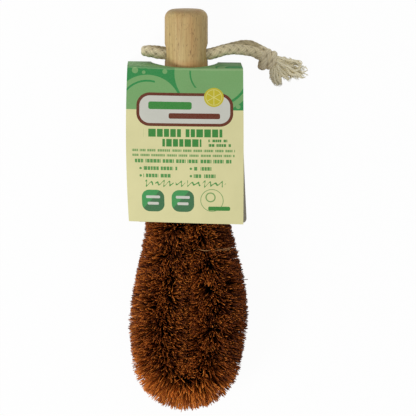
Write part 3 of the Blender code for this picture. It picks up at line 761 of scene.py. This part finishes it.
wire = {
    "diameter": 0.0015, "gap": 0.0004, "pitch": 0.016,
    "stemSpacing": 0.006, "legSpacing": 0.0147, "legRun": 0.0712, "closeRun": 0.0204,
    "bendRadius": 0.0125, "lean": 0.0018, "bendY": -0.0859, "stemDepth": 0.0237,
    "light": (176, 174, 168), "dark": (120, 118, 112),
}


def legPlace(y):
    # Half the spacing of the legs at y and how far both lean to the right, from two half cosines.
    foot = place["handleFootY"]
    opening = halfCosine((foot - y) / wire["legRun"])
    closing = halfCosine((foot - wire["legRun"] - y) / wire["closeRun"])
    offset = wire["stemSpacing"] + (wire["legSpacing"] - wire["stemSpacing"]) * opening
    offset = offset - (wire["legSpacing"] - wire["bendRadius"]) * closing
    lean = wire["lean"] * np.sin(np.pi * np.clip((foot - y) / (wire["legRun"] + wire["closeRun"]), 0, 1))
    return offset, lean


def wirePath(step):
    # Down the right leg, a half circle round the bend, up the left leg, in even steps.
    y = np.arange(place["handleFootY"] + wire["stemDepth"], wire["bendY"], -step)
    offset, lean = legPlace(y)
    turn = np.linspace(0, np.pi, 80)
    x = np.concatenate([offset + lean, wire["bendRadius"] * np.cos(turn), (lean - offset)[::-1]])
    down = np.concatenate([y, wire["bendY"] - wire["bendRadius"] * np.sin(turn), y[::-1]])
    rough = xyz(place["handleX"] + x, down, place["handleZ"])
    along = lengthAlong(rough)
    even = np.linspace(0, along[-1], round(along[-1] / step) + 1)
    return even, placesOn(rough, along, even)


wireAlong, wireLine = wirePath(0.0005)
wireRun = np.gradient(wireLine, wireAlong, axis=0)
dullWire, shader, where = newMaterial("dullWire")
spots = noise(where, 900, 4)
feed(shader, {"Base Color": ramp(spots, (0.35, wire["dark"]), (0.7, wire["light"])), "Metallic": 0.9,
              "Roughness": span(spots, 0.3, 0.7, 0.36, 0.55),
              "Normal": bump(noise(where, 3000, 2), 0.2, 0.0001)})
side, over = lineFrame(wireLine)
for letter, phase in (("A", 0.0), ("B", math.pi)):
    angle = (phase + 2 * np.pi * wireAlong / wire["pitch"])[:, None]
    line = wireLine + (wire["diameter"] + wire["gap"]) / 2 * (np.sin(angle) * over - np.cos(angle) * side)
    piece = addTube("twistedWire" + letter, line, wire["diameter"] / 2, 12, dullWire)
    placed(piece, "twisted_wire_" + letter.lower())
print("wires twisted")


bristles = {
    "sections": 9,
    "startGap": 0.003,       # from the handle's foot to the first fibres
    "each": 2700,            # fibres a section
    "reach": 0.0202, "reachAtHandle": 0.0179, "reachOnBend": 0.985,
    "reachSpread": (0.985, 0.022),                    # mean and spread of a fibre's share of its reach
    "coreRadius": 0.0011,
    "radius": 0.00030,
    "along": (0.0, 0.28, 0.55, 0.8, 0.985, 1.0),      # places of a fibre's rings, close at its cut end
    "taper": (1.0, 1.0, 1.0, 0.95, 0.8, 0.0),
    "skinRadius": 0.0195,    # of the head, to size the tufts round it
    "clump": 0.0014,         # how far tips draw together in tufts
    "clumpOnBend": 1.5,
    "tuftSizes": (0.0024, 0.0062),
    "lean": 0.0025,          # how far whole patches of them lean over
    "leanOnBend": 0.3,
    "patchSizes": (0.009, 0.020),
    "wander": 0.0011,        # how far each fibre strays by itself, and how many times that along the wire
    "wanderLengthwise": 1.6,
    "spreadAtRoot": 0.0016,
    "splayAtHandle": 0.0032, "splayRun": 0.008,   # how far the first fibres reach back to the handle
    "parting": 0.42,         # of the upper fibres, over the wire at the bottom of the bend
    "overlap": 0.0022,       # how far the bend's inner fibres stop short of its middle
    "edge": 0.0009,          # unevenness of the parting between the legs
    "least": 0.0006, "leastOnCard": 0.0012, "cardEndY": -0.030,     # above the table and the back panel
    # under the front panel: its lower face at the place (y, z), its slope, the gap to it and where it ends
    "roofAt": (0.0659, 0.03378), "roofSlope": 0.0669, "roofGap": 0.0009, "roofEndY": -0.027,
    "softSide": 0.0008, "softFloor": 0.0006, "softRoof": 0.0005,    # how gently they meet those limits
    "seed": 12, "clumpSeed": 5,
    # The root colour is painted shade, where a fibre lies deep in the head.
    "root": (18, 8, 3), "dark": (68, 27, 6), "mid": (156, 78, 24), "gold": (244, 148, 60),
    # how pale: mean and spread, and what painted light and shade add or take away
    "tone": (0.43, 0.25), "paintedLightOnBend": 0.24, "paintedLightLeft": 0.07, "paintedShadeRight": 0.12, "combLow": 0.8,
    # where each of these starts to show, and the way to its full strength
    "bendFade": (-0.080, 0.025), "combFade": (0.034, 0.012), "leftFade": (-0.034, 0.016),
    "rightFade": (0.012, 0.020),
}


def coirMaterial(name, spec):
    # Coconut fibre: painted shade towards the root, deep in the head, lighter to the tip, each fibre its own
    # brown, a dull gloss.
    material, shader, where = newMaterial(name)
    speck = noise(where, 1500, 2)
    own = attribute(where, "tone") + (noise(where, 90, 3) - 0.5) * 0.5 + (speck - 0.5) * 0.3
    fibre = ramp(own, (0.15, spec["dark"]), (0.5, spec["mid"]), (0.95, spec["gold"]))
    # Painted shade over the part of a fibre that lies deep in the head: combed fibres lie flat and show more
    # of their length; the others show little more than their ends.
    shown = attribute(where, "combed") * 0.20 + attribute(where, "along")
    base = mixed(span(shown, 0.46, 0.96, 0.95, 0.0), fibre, spec["root"])
    feed(shader, {"Base Color": base, "Roughness": 0.55, "Specular IOR Level": 0.2,
                  "Normal": bump(speck, 0.3, 0.0002)})
    return material


def clumpPull(s, turn, waves, sizes):
    # Slope, along the wire and round it, of a sum of waves over the head's skin, whose lengths lie
    # between the two sizes; tips slide up it and gather.
    pull = np.zeros((2, len(s)))
    for _ in range(16):
        size = waves.uniform(*sizes)
        way = waves.uniform(0, 2 * np.pi)
        across = round(bristles["skinRadius"] * 2 * np.pi * np.sin(way) / size)
        along = 2 * np.pi * np.cos(way) / size
        height = np.cos(along * s + across * turn + waves.uniform(0, 2 * np.pi))
        pull += np.array([[np.cos(way)], [np.sin(way)]]) * height
    return pull / 2.8


def fibreLines(first, last, spec, chance):
    # A fibre leaves the wire at s in the direction turn, cos(turn) outwards + sin(turn) up, runs to
    # its reach, and bends by the tuft's pull and its own wander, more towards its tip. Then it is
    # held out of the other leg's space, off the table and under the card.
    count = spec["each"]
    s = chance.uniform(first, last, count)
    turn = chance.uniform(0, 2 * np.pi, count)
    at = placesOn(wireLine, wireAlong, s)
    run = unit(placesOn(wireRun, wireAlong, s))
    out = -unit(np.cross(run, upWay))
    onBend = at[:, 1] < wire["bendY"]
    inward = np.where(onBend, wire["bendRadius"], legPlace(at[:, 1])[0])
    grown = halfCosine((place["handleFootY"] - at[:, 1]) / wire["legRun"])
    reach = spec["reachAtHandle"] + (spec["reach"] - spec["reachAtHandle"]) * grown
    reach = reach * chance.normal(*spec["reachSpread"], count) * np.where(onBend, spec["reachOnBend"], 1.0)
    # At the bottom of the bend the upper fibres part over the wire, by a power of their angle from upright.
    splay = spec["parting"] * np.clip((wire["bendY"] - at[:, 1]) / wire["bendRadius"], 0, 1)
    upright = (turn + np.pi / 2) % (2 * np.pi) - np.pi
    parted = np.sign(upright) * np.pi / 2 * (abs(upright) / (np.pi / 2)) ** (1 - splay)
    turn = np.where(abs(upright) < np.pi / 2, parted + np.pi / 2, turn)
    waves = np.random.default_rng(spec["clumpSeed"])
    tuft, patch = (clumpPull(s, turn, waves, spec[sizes]) for sizes in ("tuftSizes", "patchSizes"))
    # Only the upper fibres lean, and mostly those on the straight legs.
    lean = spec["lean"] * np.clip(np.sin(turn), 0, 1) * np.where(onBend, spec["leanOnBend"], 1.0)
    clump = spec["clump"] * np.where(onBend, spec["clumpOnBend"], 1.0)
    pullS, pullTurn = (clump * tuft + lean * patch)[..., None]
    t = np.array(spec["along"])[None]
    bend = t ** 1.6
    c, d = np.cos(turn)[:, None], np.sin(turn)[:, None]
    sideways = pullTurn * bend + chance.normal(0, spec["wander"], (count, 1)) * bend
    strayed = chance.normal(0, spec["wander"] * spec["wanderLengthwise"], (count, 1))
    lengthwise = pullS * bend + strayed * bend
    gaps = (s - headStart, headStart + headLength - s)
    near = [np.clip(1 - gap / spec["splayRun"], 0, 1) for gap in gaps]
    lengthwise -= spec["splayAtHandle"] * (near[0] - near[1])[:, None] * bend
    spread = chance.normal(0, spec["spreadAtRoot"], (2, count, 1)) * np.sin(np.pi / 2 * t)
    sideways, lengthwise = sideways + spread[0], lengthwise + spread[1]
    out0 = spec["coreRadius"] + (reach[:, None] - spec["coreRadius"]) * t
    outward = out0 * c - sideways * d
    rise = out0 * d + sideways * c
    limit = inward[:, None] + chance.normal(0, spec["edge"], (count, 1))
    limit = limit - np.where(onBend, spec["overlap"], 0.0)[:, None]
    outward = softMax(outward, -limit, spec["softSide"])
    lines = at[:, None] + outward[..., None] * out[:, None] + rise[..., None] * upWay
    lines = lines + lengthwise[..., None] * run[:, None]
    y, z = lines[..., 1], lines[..., 2]
    z = softMax(z, np.where(y > spec["cardEndY"], spec["leastOnCard"], spec["least"]), spec["softFloor"])
    roof = spec["roofAt"][1] + (spec["roofAt"][0] - y) * spec["roofSlope"] - spec["roofGap"]
    lines[..., 2] = np.where(y > spec["roofEndY"], -softMax(-z, -roof, spec["softRoof"]), z)
    return lines


def faded(where, key, way=1):
    # 0 before the place that the dictionary gives, 1 past its run, counted up or, with way -1, down.
    start, run = bristles[key]
    return smoothStep(way * (where - start) / run)


headStart = wire["stemDepth"] + bristles["startGap"]      # along the wire
headLength = wireAlong[-1] - 2 * headStart
coir = coirMaterial("coirFibre", bristles)
chance = np.random.default_rng(bristles["seed"])
for k in range(bristles["sections"]):
    first = headStart + headLength * k / bristles["sections"]
    lines = fibreLines(first, first + headLength / bristles["sections"], bristles, chance)
    # Painted light makes the bend's tips paler, and painted light and shade make the left side paler than
    # the right.
    x, y, z = lines[:, -1].T
    onBend, low = faded(y, "bendFade", -1), faded(z, "combFade", -1)
    combed = np.maximum(onBend, bristles["combLow"] * low)
    tone = bristles["paintedLightOnBend"] * onBend + bristles["paintedLightLeft"] * (1 - faded(x, "leftFade"))
    tone = tone - bristles["paintedShadeRight"] * faded(x, "rightFade")
    tone = np.clip(chance.normal(*bristles["tone"], len(lines)) + tone, 0, 1)
    radii = bristles["radius"] * chance.uniform(0.75, 1.2, (len(lines), 1)) * bristles["taper"]
    values = {"tone": tone, "combed": combed}
    piece = strands(f"coirSection{k + 1}", lines, radii, coir, values, grow=bristles["along"])
    placed(piece, f"bristle_section_{k + 1}")

# A few long straw-coloured fibres that came loose and lie on the head.
stray = {
    "radius": 0.00022,
    "rings": 24,
    # The root colour is painted shade, lighter than the head's, as these fibres lie on top.
    "root": (150, 104, 60), "dark": (176, 126, 76), "mid": (206, 158, 104), "gold": (226, 184, 132),
    "routes": [
        [(14, -21, 35), (17.2, -20.3, 35.8), (20.5, -19.9, 33.8), (23.6, -19.9, 30.6), (25.8, -20.3, 26.6)],
        [(15.8, -19.2, 34.4), (19, -20, 34.5), (22.2, -20.7, 32), (24.8, -21, 28.2)],
        [(6.2, -19.5, 35), (8.5, -19.9, 37.3), (11.2, -20.2, 37.4), (13.8, -20.1, 35.4)],
    ],
}
lines = []
for route in stray["routes"]:
    line = smoothLine(metres(route), 0.0005)
    lines.append(placesOn(line, np.arange(len(line)), np.linspace(0, len(line) - 1, stray["rings"])))
radii = stray["radius"] * np.linspace(1.1, 0.7, stray["rings"]) * np.ones((len(lines), 1))
pale = coirMaterial("paleFibre", stray)
values = {"tone": 0.6, "combed": 1.0}
placed(strands("strayFibres", np.array(lines), radii, pale, values, 5))
print("bristles grown")


card = {
    "thick": 0.00045,
    "size": (66.2, 89.9, 0.0),     # of the front's print, in millimetres
    # in millimetres: left and right corner at the fold, the edges' middles, and the free corners
    "front": (((-34.4, 86.9, 33.8), (32.2, 85.1, 33.8)), ((-35.2, 41.8, 37.1), (32.5, 40.4, 37.4)),
              ((-33.7, -2.8, 39.0), (32.4, -4.5, 39.4))),
    "back": (((-35.0, 86.3, 0.23), (31.2, 85.5, 0.23)), ((-35.0, 39.0, 0.23), (32.8, 38.5, 0.23)),
             ((-31.2, -9.0, 0.23), (35.0, -9.8, 0.23))),
    "backCorner": 0.003,
    "crease": 0.0006,         # radius of the folds
    "creaseBow": 0.0006,      # the handle presses the middle of the front fold down the print
    # the front's bow over the bristles, its left corner's droop, its lower edge's waves, the roof's swell
    "bow": 0.0010, "droop": 0.0016, "slack": 0.00025, "roofSwell": 0.0005,
    "roofPrint": 0.37,        # how much of the print's length goes over the roof
    "sharp": 40,
    "cutMiddle": (-0.0018, 0.0861, 0.0002), "cutHalfWidth": 0.0196, "cutPower": 2.2,
    "cutDepth": 0.003, "cutSides": 72,
    "openings": {"roof": (0.0323, (0, 0, 1.0)), "back": (0.0031, (0, -1.0, 0))},    # reach, and its way
    "green": (40, 140, 72), "pale": (122, 172, 108), "cream": (230, 224, 168), "inside": (200, 195, 178),
    "brown": (100, 34, 14), "white": (212, 212, 202), "yellow": (204, 190, 40), "rind": (226, 218, 120),
    "ink": (52, 136, 56), "softInk": (84, 150, 76), "faintInk": (122, 164, 96),
    "badge": (62, 152, 84), "badgeShade": (58, 112, 72),
    "bandEnd": 25.1,
    "pools": ((12, 24, 19), (50, 3, 23)),           # middle and radius, as of the bubbles
    # green rings, each middle and two radii, and the oblong that it shows in
    "arcs": (((12, 24, 15.0, 16.1), (-2, 16, 0, 20)), ((50, 3, 18.6, 20.0), (52, 68, -2, 20)),
             ((50, 3, 13.6, 14.5), (34, 47, 2, 12))),
    "bubbles": ((31.5, 19.5, 2.5), (4.5, 2.6, 1.8), (9.5, 3.6, 1.0), (21.5, 2.8, 1.4), (63.2, 23, 1.3)),
    "plate": ((5.8, 60.4, 15.2, 34.6, 7.5, "brown"), (7.5, 58.7, 16.9, 32.9, 5.9, "white"),
              (12.5, 37, 20.4, 24.8, 1.2, "ink"), (24, 53, 27.0, 30.2, 1.0, "brown")),
    "fruit": (49.5, 17.6),
    # radii of the whole slice, of its ring inside and outside, and of its spokes, and half a spoke's width
    "slice": (5.6, 4.3, 4.7, 4.4, 0.24),
    # rows of print: left, right, top, bottom, pace of the strokes, seed, ink
    "rows": ((9.9, 56.1, 36.2, 40.8, 19, 3.1, "ink"), (20.5, 45.2, 42.0, 46.4, 28, 7.7, "ink"),
             (46.4, 57.0, 42.1, 43.6, 7.0, 1.3, "ink"), (46.4, 59.0, 44.7, 46.3, 7.0, 5.3, "ink"),
             (3.4, 61.3, 48.0, 49.4, 6.2, 11.9, "faintInk"), (3.4, 61.3, 50.9, 52.2, 6.6, 17.3, "faintInk"),
             (4.9, 59.3, 53.8, 55.9, 7.3, 23.9, "softInk"), (9.5, 28.7, 58.1, 60.2, 8.0, 29.3, "softInk"),
             (38, 48, 58.1, 60.2, 12.0, 31.1, "softInk"), (9.5, 26.3, 62.4, 64.5, 8.0, 37.7, "softInk"),
             (38, 50.3, 62.4, 64.5, 12.0, 41.3, "softInk")),
    "dots": ((8, 59.2), (36.4, 59.2), (8, 63.5), (36.4, 63.5)),
    "scrawl": (10.4, 56.1, 68.0, 1.7, 2.2),
    "badges": ((8.2, 92.6), (25.2, 111.0)),        # left edge, and where the slant shade starts
    "badgeBars": ((2.4, 10.4, 75.2, 76.8, 0.6), (3.2, 9.6, 79.0, 80.6, 0.6)),     # from a badge's left edge
    "seals": ((48.2, 77.6, 6.2, 6.6), (47.4, 75.8, 2.2, 2.9)),
    "label": (46, 58.6, 81.2, 83.6, 0.9),
}


def threePoint(top, middle, end, v):
    # The parabola through three places at v 0, 0.5 and 1.
    return top * (2 * v - 1) * (v - 1) + middle * 4 * v * (1 - v) + end * v * (2 * v - 1)


def shell(name, sheet, u, v, materials):
    # A card from its middle surface, rows x cols x 3: both faces stand half the thickness off along
    # the normal (d/dv x d/du), and a strip closes the edges. The print faces the normal.
    rows, cols, _ = sheet.shape
    off = unit(np.cross(np.gradient(sheet, axis=0), np.gradient(sheet, axis=1))) * card["thick"] / 2
    points = np.vstack([(sheet + off).reshape(-1, 3), (sheet - off).reshape(-1, 3)])
    i, j = np.meshgrid(np.arange(rows - 1), np.arange(cols - 1), indexing="ij")
    a = (i * cols + j).ravel()
    outer = np.stack([a, a + cols, a + cols + 1, a + 1], -1)
    inner = outer[:, ::-1] + rows * cols
    edge = np.concatenate([np.arange(cols), np.arange(1, rows) * cols + cols - 1,
                           (rows - 1) * cols + np.arange(cols - 2, -1, -1),
                           np.arange(rows - 2, 0, -1) * cols])
    nextEdge = np.roll(edge, -1)
    rim = np.stack([edge, nextEdge, nextEdge + rows * cols, edge + rows * cols], -1)
    faces = np.vstack([outer, inner, rim])
    flatUv = np.tile(np.stack(np.broadcast_arrays(u, v), -1).reshape(-1, 2), (2, 1))
    index = np.arange(len(faces)) >= len(outer)
    return addMesh(name, points, [faces], materials, flatUv[faces.ravel()], None, card["sharp"], index)


def printMaterial(panel, spec):
    # The printed face, drawn on the panel's UV in millimetres from its top left corner: a green band
    # with pale bubbles, a cream ground, and plain bars and discs where words and pictures would be.
    material, shader, where = newMaterial(panel + "Print")
    tree = where.tree
    onPanel = Field(tree, node(tree, "ShaderNodeTexCoord", {}).outputs["UV"], "VectorMath")
    x, down, _ = separate(onPanel * spec["size"])
    y = x * 0.010 + down + 0.9       # the print sits a little high on the fold, more so at the right
    flat = Field(tree, node(tree, "ShaderNodeCombineXYZ", {0: x, 1: y}).outputs[0], "VectorMath")

    def disc(across, down, wide, tall=None):
        return ((flat - (across, down, 0)) / (wide, tall or wide, 1)).math("LENGTH") < 1.0

    def ring(across, down, inner, outer):
        return disc(across, down, outer).math("SUBTRACT", disc(across, down, inner), use_clamp=True)

    def block(left, right, top, bottom, corner=0.0):
        # Inside a rounded oblong: the distance past the shrunk oblong is less than the corner.
        away = abs(flat - ((left + right) / 2, (top + bottom) / 2, 0))
        half = ((right - left) / 2 - corner, (bottom - top) / 2 - corner, 1)
        past = (away - half).math("MAXIMUM", (0, 0, 0))
        return past.math("LENGTH") < max(corner, 0.01)

    def cells(pace, seed, gap):
        # Gaps at uneven distances along x, about one every pace.
        inputs = {"W": x + seed, "Scale": 1 / pace, "Randomness": 0.7}
        kind = {"voronoi_dimensions": "1D", "feature": "DISTANCE_TO_EDGE"}
        return field(tree, "ShaderNodeTexVoronoi", inputs, "Distance", **kind) > gap

    def words(left, right, top, bottom, pace, seed):
        # A row of short bars in groups, parted like the strokes and words of a line of print.
        row = block(left, right, top, bottom)
        return row * cells(pace, seed, 0.07) * cells((bottom - top) * 0.85, seed + 3.3, 0.09)

    def scrawl(left, right, middle, high, seed):
        # A thin slanted wave along the row whose height swells and sinks.
        swell = (x * 0.55 + seed).math("SINE") * (high * 0.35) + high * 0.65
        wave = ((y * 0.5 + x) * 1.9 + seed).math("SINE") * swell
        thin = abs(y - middle - wave) < 0.5
        return thin * block(left, right, middle - 4, middle + 4) * cells(9.5, seed, 0.06)

    def drawn(base, *layers):
        return laid(base, *((share, spec[shade]) for share, shade in layers))

    if panel == "roof":
        base = drawn(spec["pale"], (disc(64, 4, 8, 9), "green"), (ring(64, 4, 12.5, 13.6), "green"))
    else:
        base = drawn(
            spec["green"],
            *((disc(*pool), "pale") for pool in spec["pools"]),
            *((ring(*arc) * block(*window), "green") for arc, window in spec["arcs"]),
            *((disc(*bubble), "pale") for bubble in spec["bubbles"]),
            (y > spec["bandEnd"], "cream"))
    if panel == "front":
        # A plate with bars and a slice of fruit with three spokes, rows of print, badges, rings and a bar.
        fruit = spec["fruit"]
        whole, inner, outer, spoked, thin = spec["slice"]
        spokes = [abs((flat - (*fruit, 0)).math("DOT_PRODUCT", way)) < thin
                  for way in ((1.0, 0.0, 0.0), (0.5, 0.866, 0.0), (0.5, -0.866, 0.0))]
        base = drawn(
            base,
            *((block(*sides), shade) for *sides, shade in spec["plate"]),
            (disc(*fruit, whole), "yellow"), (ring(*fruit, inner, outer), "rind"),
            *((spoke * disc(*fruit, spoked), "rind") for spoke in spokes),
            *((words(*row), shade) for *row, shade in spec["rows"]),
            (scrawl(*spec["scrawl"]), "softInk"),
            *((disc(*dot, 0.7), "softInk") for dot in spec["dots"]))
        for left, cut in spec["badges"]:
            badge = block(left, left + 12.8, 71.8, 84.6, 4.4)
            base = drawn(
                base, (badge, "badge"), (badge * (x * 1.1 + y > cut), "badgeShade"),
                *((block(left + a, left + b, *rest), "white") for a, b, *rest in spec["badgeBars"]))
        base = drawn(
            base, *((ring(*seal), "faintInk") for seal in spec["seals"]), (block(*spec["label"]), "ink"))
    if panel == "back":
        lines = [(8, 58, 42 + 3.1 * row, 43.3 + 3.1 * row, 7.0, 3.7 * row + 1) for row in range(8)]
        base = drawn(
            base, (block(10, 56, 33, 37, 1.0), "ink"), *((words(*line), "softInk") for line in lines),
            (block(14, 52, 72, 84, 2.0), "white"))
    pulp, cloud = noise(where, 1800, 3), noise(where, 60, 3)
    worn = (down < noise(where, 500, 2) * 0.9) * 0.25
    base = laid(base, (span(pulp, 0.35, 0.7, 0.0, 0.05), (236, 232, 205)),
                (span(cloud, 0.35, 0.7, 0.0, 0.08), (110, 120, 74)), (worn, (190, 208, 160)))
    feed(shader, {"Base Color": base, "Roughness": span(cloud, 0.3, 0.7, 0.56, 0.68),
                  "Specular IOR Level": 0.22, "Normal": bump(pulp * 0.3 + cloud, 0.12, 0.0006)})
    return material


# Grey-brown board on the inside: fibres of the pulp, soft clouds, and no gloss.
cardInside, shader, where = newMaterial("cardInside")
pulp = noise(where, 1400, 4)
board = mixed(span(noise(where, 120, 3), 0.4, 0.7, 0, 0.3),
              ramp(pulp, (0.3, (182, 176, 158)), (0.7, card["inside"])), (208, 202, 184))
feed(shader, {"Base Color": board, "Roughness": 0.9, "Normal": bump(pulp, 0.25, 0.0002)})


def panelSheet(kind, rows, cols):
    # Between the left and right edges, each a parabola down the panel. Seven rows before it run
    # round the fold, a quarter circle from the roof's plane onto the panel.
    v = np.linspace(0, 1, rows)[:, None, None]
    u = np.linspace(0, 1, cols)[None, :, None]
    left, right = (threePoint(*edge, v) for edge in metres(card[kind]).transpose(1, 0, 2))
    if kind == "back":
        # The free corners are rounded: both edges draw in as a quarter circle over the last stretch.
        r = card["backCorner"]
        toEnd = np.clip(1 - (left[:1, :, 1] - left[-1:, :, 1]) * (1 - v[..., 0]) / r, 0, 1)
        drawn = xyz(r * (1 - np.sqrt(1 - toEnd ** 2)), 0, 0)
        left, right = left + drawn, right - drawn
    sheet = left * (1 - u) + right * u
    up = 1 if kind == "front" else -1
    r = card["crease"]
    angle = np.linspace(0, np.pi / 2, 8)[:-1, None]
    fold = np.repeat(sheet[:1], 7, axis=0)
    fold[..., 1] -= r * (1 - np.cos(angle))
    fold[..., 2] -= up * r * (1 - np.sin(angle))
    sheet[..., 1] -= r * (1 - v[..., 0])
    share = np.append(np.linspace(-0.008, -0.001, 7), np.linspace(0, 1, rows))[:, None]
    return np.concatenate([fold, sheet], axis=0), u[..., 0], share


def cutOut(piece, reach, way):
    # The opening for the handle: the prism over |x / halfWidth|^p + |y / reach|^p = 1 about the back
    # fold. way is the direction that y runs in, along the panel.
    sides = card["cutSides"]
    a = turnsOf(sides)
    x, y = (np.sign(f) * np.abs(f) ** (2 / card["cutPower"]) for f in (np.cos(a), np.sin(a)))
    half = card["cutDepth"] * np.cross([1.0, 0, 0], way)
    oval = np.array(card["cutMiddle"]) + xyz(card["cutHalfWidth"] * x, 0, 0)
    oval = oval + reach * y[:, None] * np.array(way)
    points = np.vstack([oval - half, oval + half, oval.mean(0) - half, oval.mean(0) + half])
    faces = [part[:, ::-1] for part in tubeFaces(2, sides)[:2]]
    shape = addMesh("handleOpening", points, faces, [cardInside] * 2, materialOf=np.ones(3 * sides))
    cutBy(piece, [shape], card["sharp"])


def makePanel(panel, sheet, u, v):
    name = "sleeve" + panel.capitalize()
    piece = shell(name, sheet, u, v, [printMaterial(panel, card), cardInside])
    if panel != "front":
        reach, way = card["openings"][panel]
        cutOut(piece, reach, way)
    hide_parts("sleeve_" + panel)
    return piece


def makeFront():
    sheet, u, v = panelSheet("front", 120, 90)
    down = np.clip(v, 0, 1)
    # A little bow over the bristles, a droop at the lower left edge, a slack wave along the lower edge.
    lift = card["bow"] * np.sin(np.pi * u) * np.sin(np.pi * down) - card["droop"] * (1 - u) ** 4 * down ** 2
    sheet[..., 2] += lift + card["slack"] * np.sin(2 * np.pi * (1.5 * u + 0.2)) * down ** 3
    sheet[..., 1] -= card["creaseBow"] * np.sin(np.pi * u) * (1 - down) ** 6
    piece = makePanel("front", sheet, u, v)
    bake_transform(piece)


def makeBack():
    sheet, u, v = panelSheet("back", 200, 60)
    piece = makePanel("back", sheet[:, ::-1], u, v)
    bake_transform(piece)


def makeRoof():
    # Flat between the two folds, corner to corner, with a little swell at its middle.
    high, low = (metres(card[part][0])[:, None] for part in ("front", "back"))
    v = np.linspace(0, 1, 40)[:, None, None]
    u = np.linspace(0, 1, 90)[None, :, None]
    sheet = (low[0] * (1 - u) + low[1] * u) * (1 - v) + (high[0] * (1 - u) + high[1] * u) * v
    u, v = u[..., 0], v[..., 0]
    bottom, top = low[0, 0, 2] + card["crease"], high[0, 0, 2] - card["crease"]
    sheet[..., 2] = bottom + (top - bottom) * v
    swell = card["roofSwell"] * np.sin(np.pi * v) - card["creaseBow"] * v ** 3
    sheet[..., 1] += np.sin(np.pi * u) * swell
    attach(makePanel("roof", sheet, u, card["roofPrint"] * (1 - v)), "sleeve_roof")


makeFront()
makeBack()
makeRoof()
print("sleeve folded")


studio = {
    "floor": (242, 242, 240), "half": 3, "under": 0.0002, "sky": 0.40, "glow": 0.96,
    "aim": (0, 0, 0.02),
    # place, size and power
    "lamps": {"keyLamp": ((-0.88, -0.50, 0.97), 0.6, 11.0), "fillLamp": ((0.25, 1.0, 1.0), 0.9, 2.05)},
}


def lookedAt(tree):
    # 1 for the rays that the camera sends out and their mirrored and refracted ones, else 0.
    rays = node(tree, "ShaderNodeLightPath", {})
    names = ("Is Camera Ray", "Is Glossy Ray", "Is Transmission Ray")
    straight, glossy, through = (Field(tree, rays.outputs[name]) for name in names)
    return straight.math("MAXIMUM", glossy.math("MAXIMUM", through))


def softLamp(name, at, size, power):
    data = bpy.data.lights.new(name, "AREA")
    data.shape = "DISK"
    data.size = size
    data.energy = power
    lamp = bpy.data.objects.new(name, data)
    x, y, z = np.array(at) - np.array(studio["aim"])
    lamp.location = at
    lamp.rotation_euler = (math.atan2(math.hypot(x, y), z), 0, math.atan2(x, -y))
    bpy.context.scene.collection.objects.link(lamp)


# The floor catches shadows, and glows white to the camera.
material, shader, where = newMaterial("paleFloor")
tree = where.tree
feed(shader, {"Base Color": colour(studio["floor"]), "Roughness": 0.9})
glow = field(tree, "ShaderNodeEmission", {"Color": (1, 1, 1, 1), "Strength": 1.0})
inputs = {0: lookedAt(tree) * studio["glow"], 1: Field(tree, shader.outputs[0]), 2: glow}
feed(tree.nodes["Material Output"], {0: field(tree, "ShaderNodeMixShader", inputs)})
points = np.array([(-1, -1, 0), (1, -1, 0), (1, 1, 0), (-1, 1, 0)]) * studio["half"]
points = points - upWay * studio["under"]
addMesh("floor", points, [np.array([[0, 1, 2, 3]])], material)

world = bpy.data.worlds.new("studio")
bpy.context.scene.world = world
world.use_nodes = True
sky = world.node_tree.nodes["Background"]
feed(sky, {"Strength": span(lookedAt(world.node_tree), 0, 1, studio["sky"], 1.0), "Color": (1, 1, 1, 1)})

for name, lamp in studio["lamps"].items():
    softLamp(name, *lamp)

bpy.context.scene.view_settings.view_transform = "Standard"
print("light set")
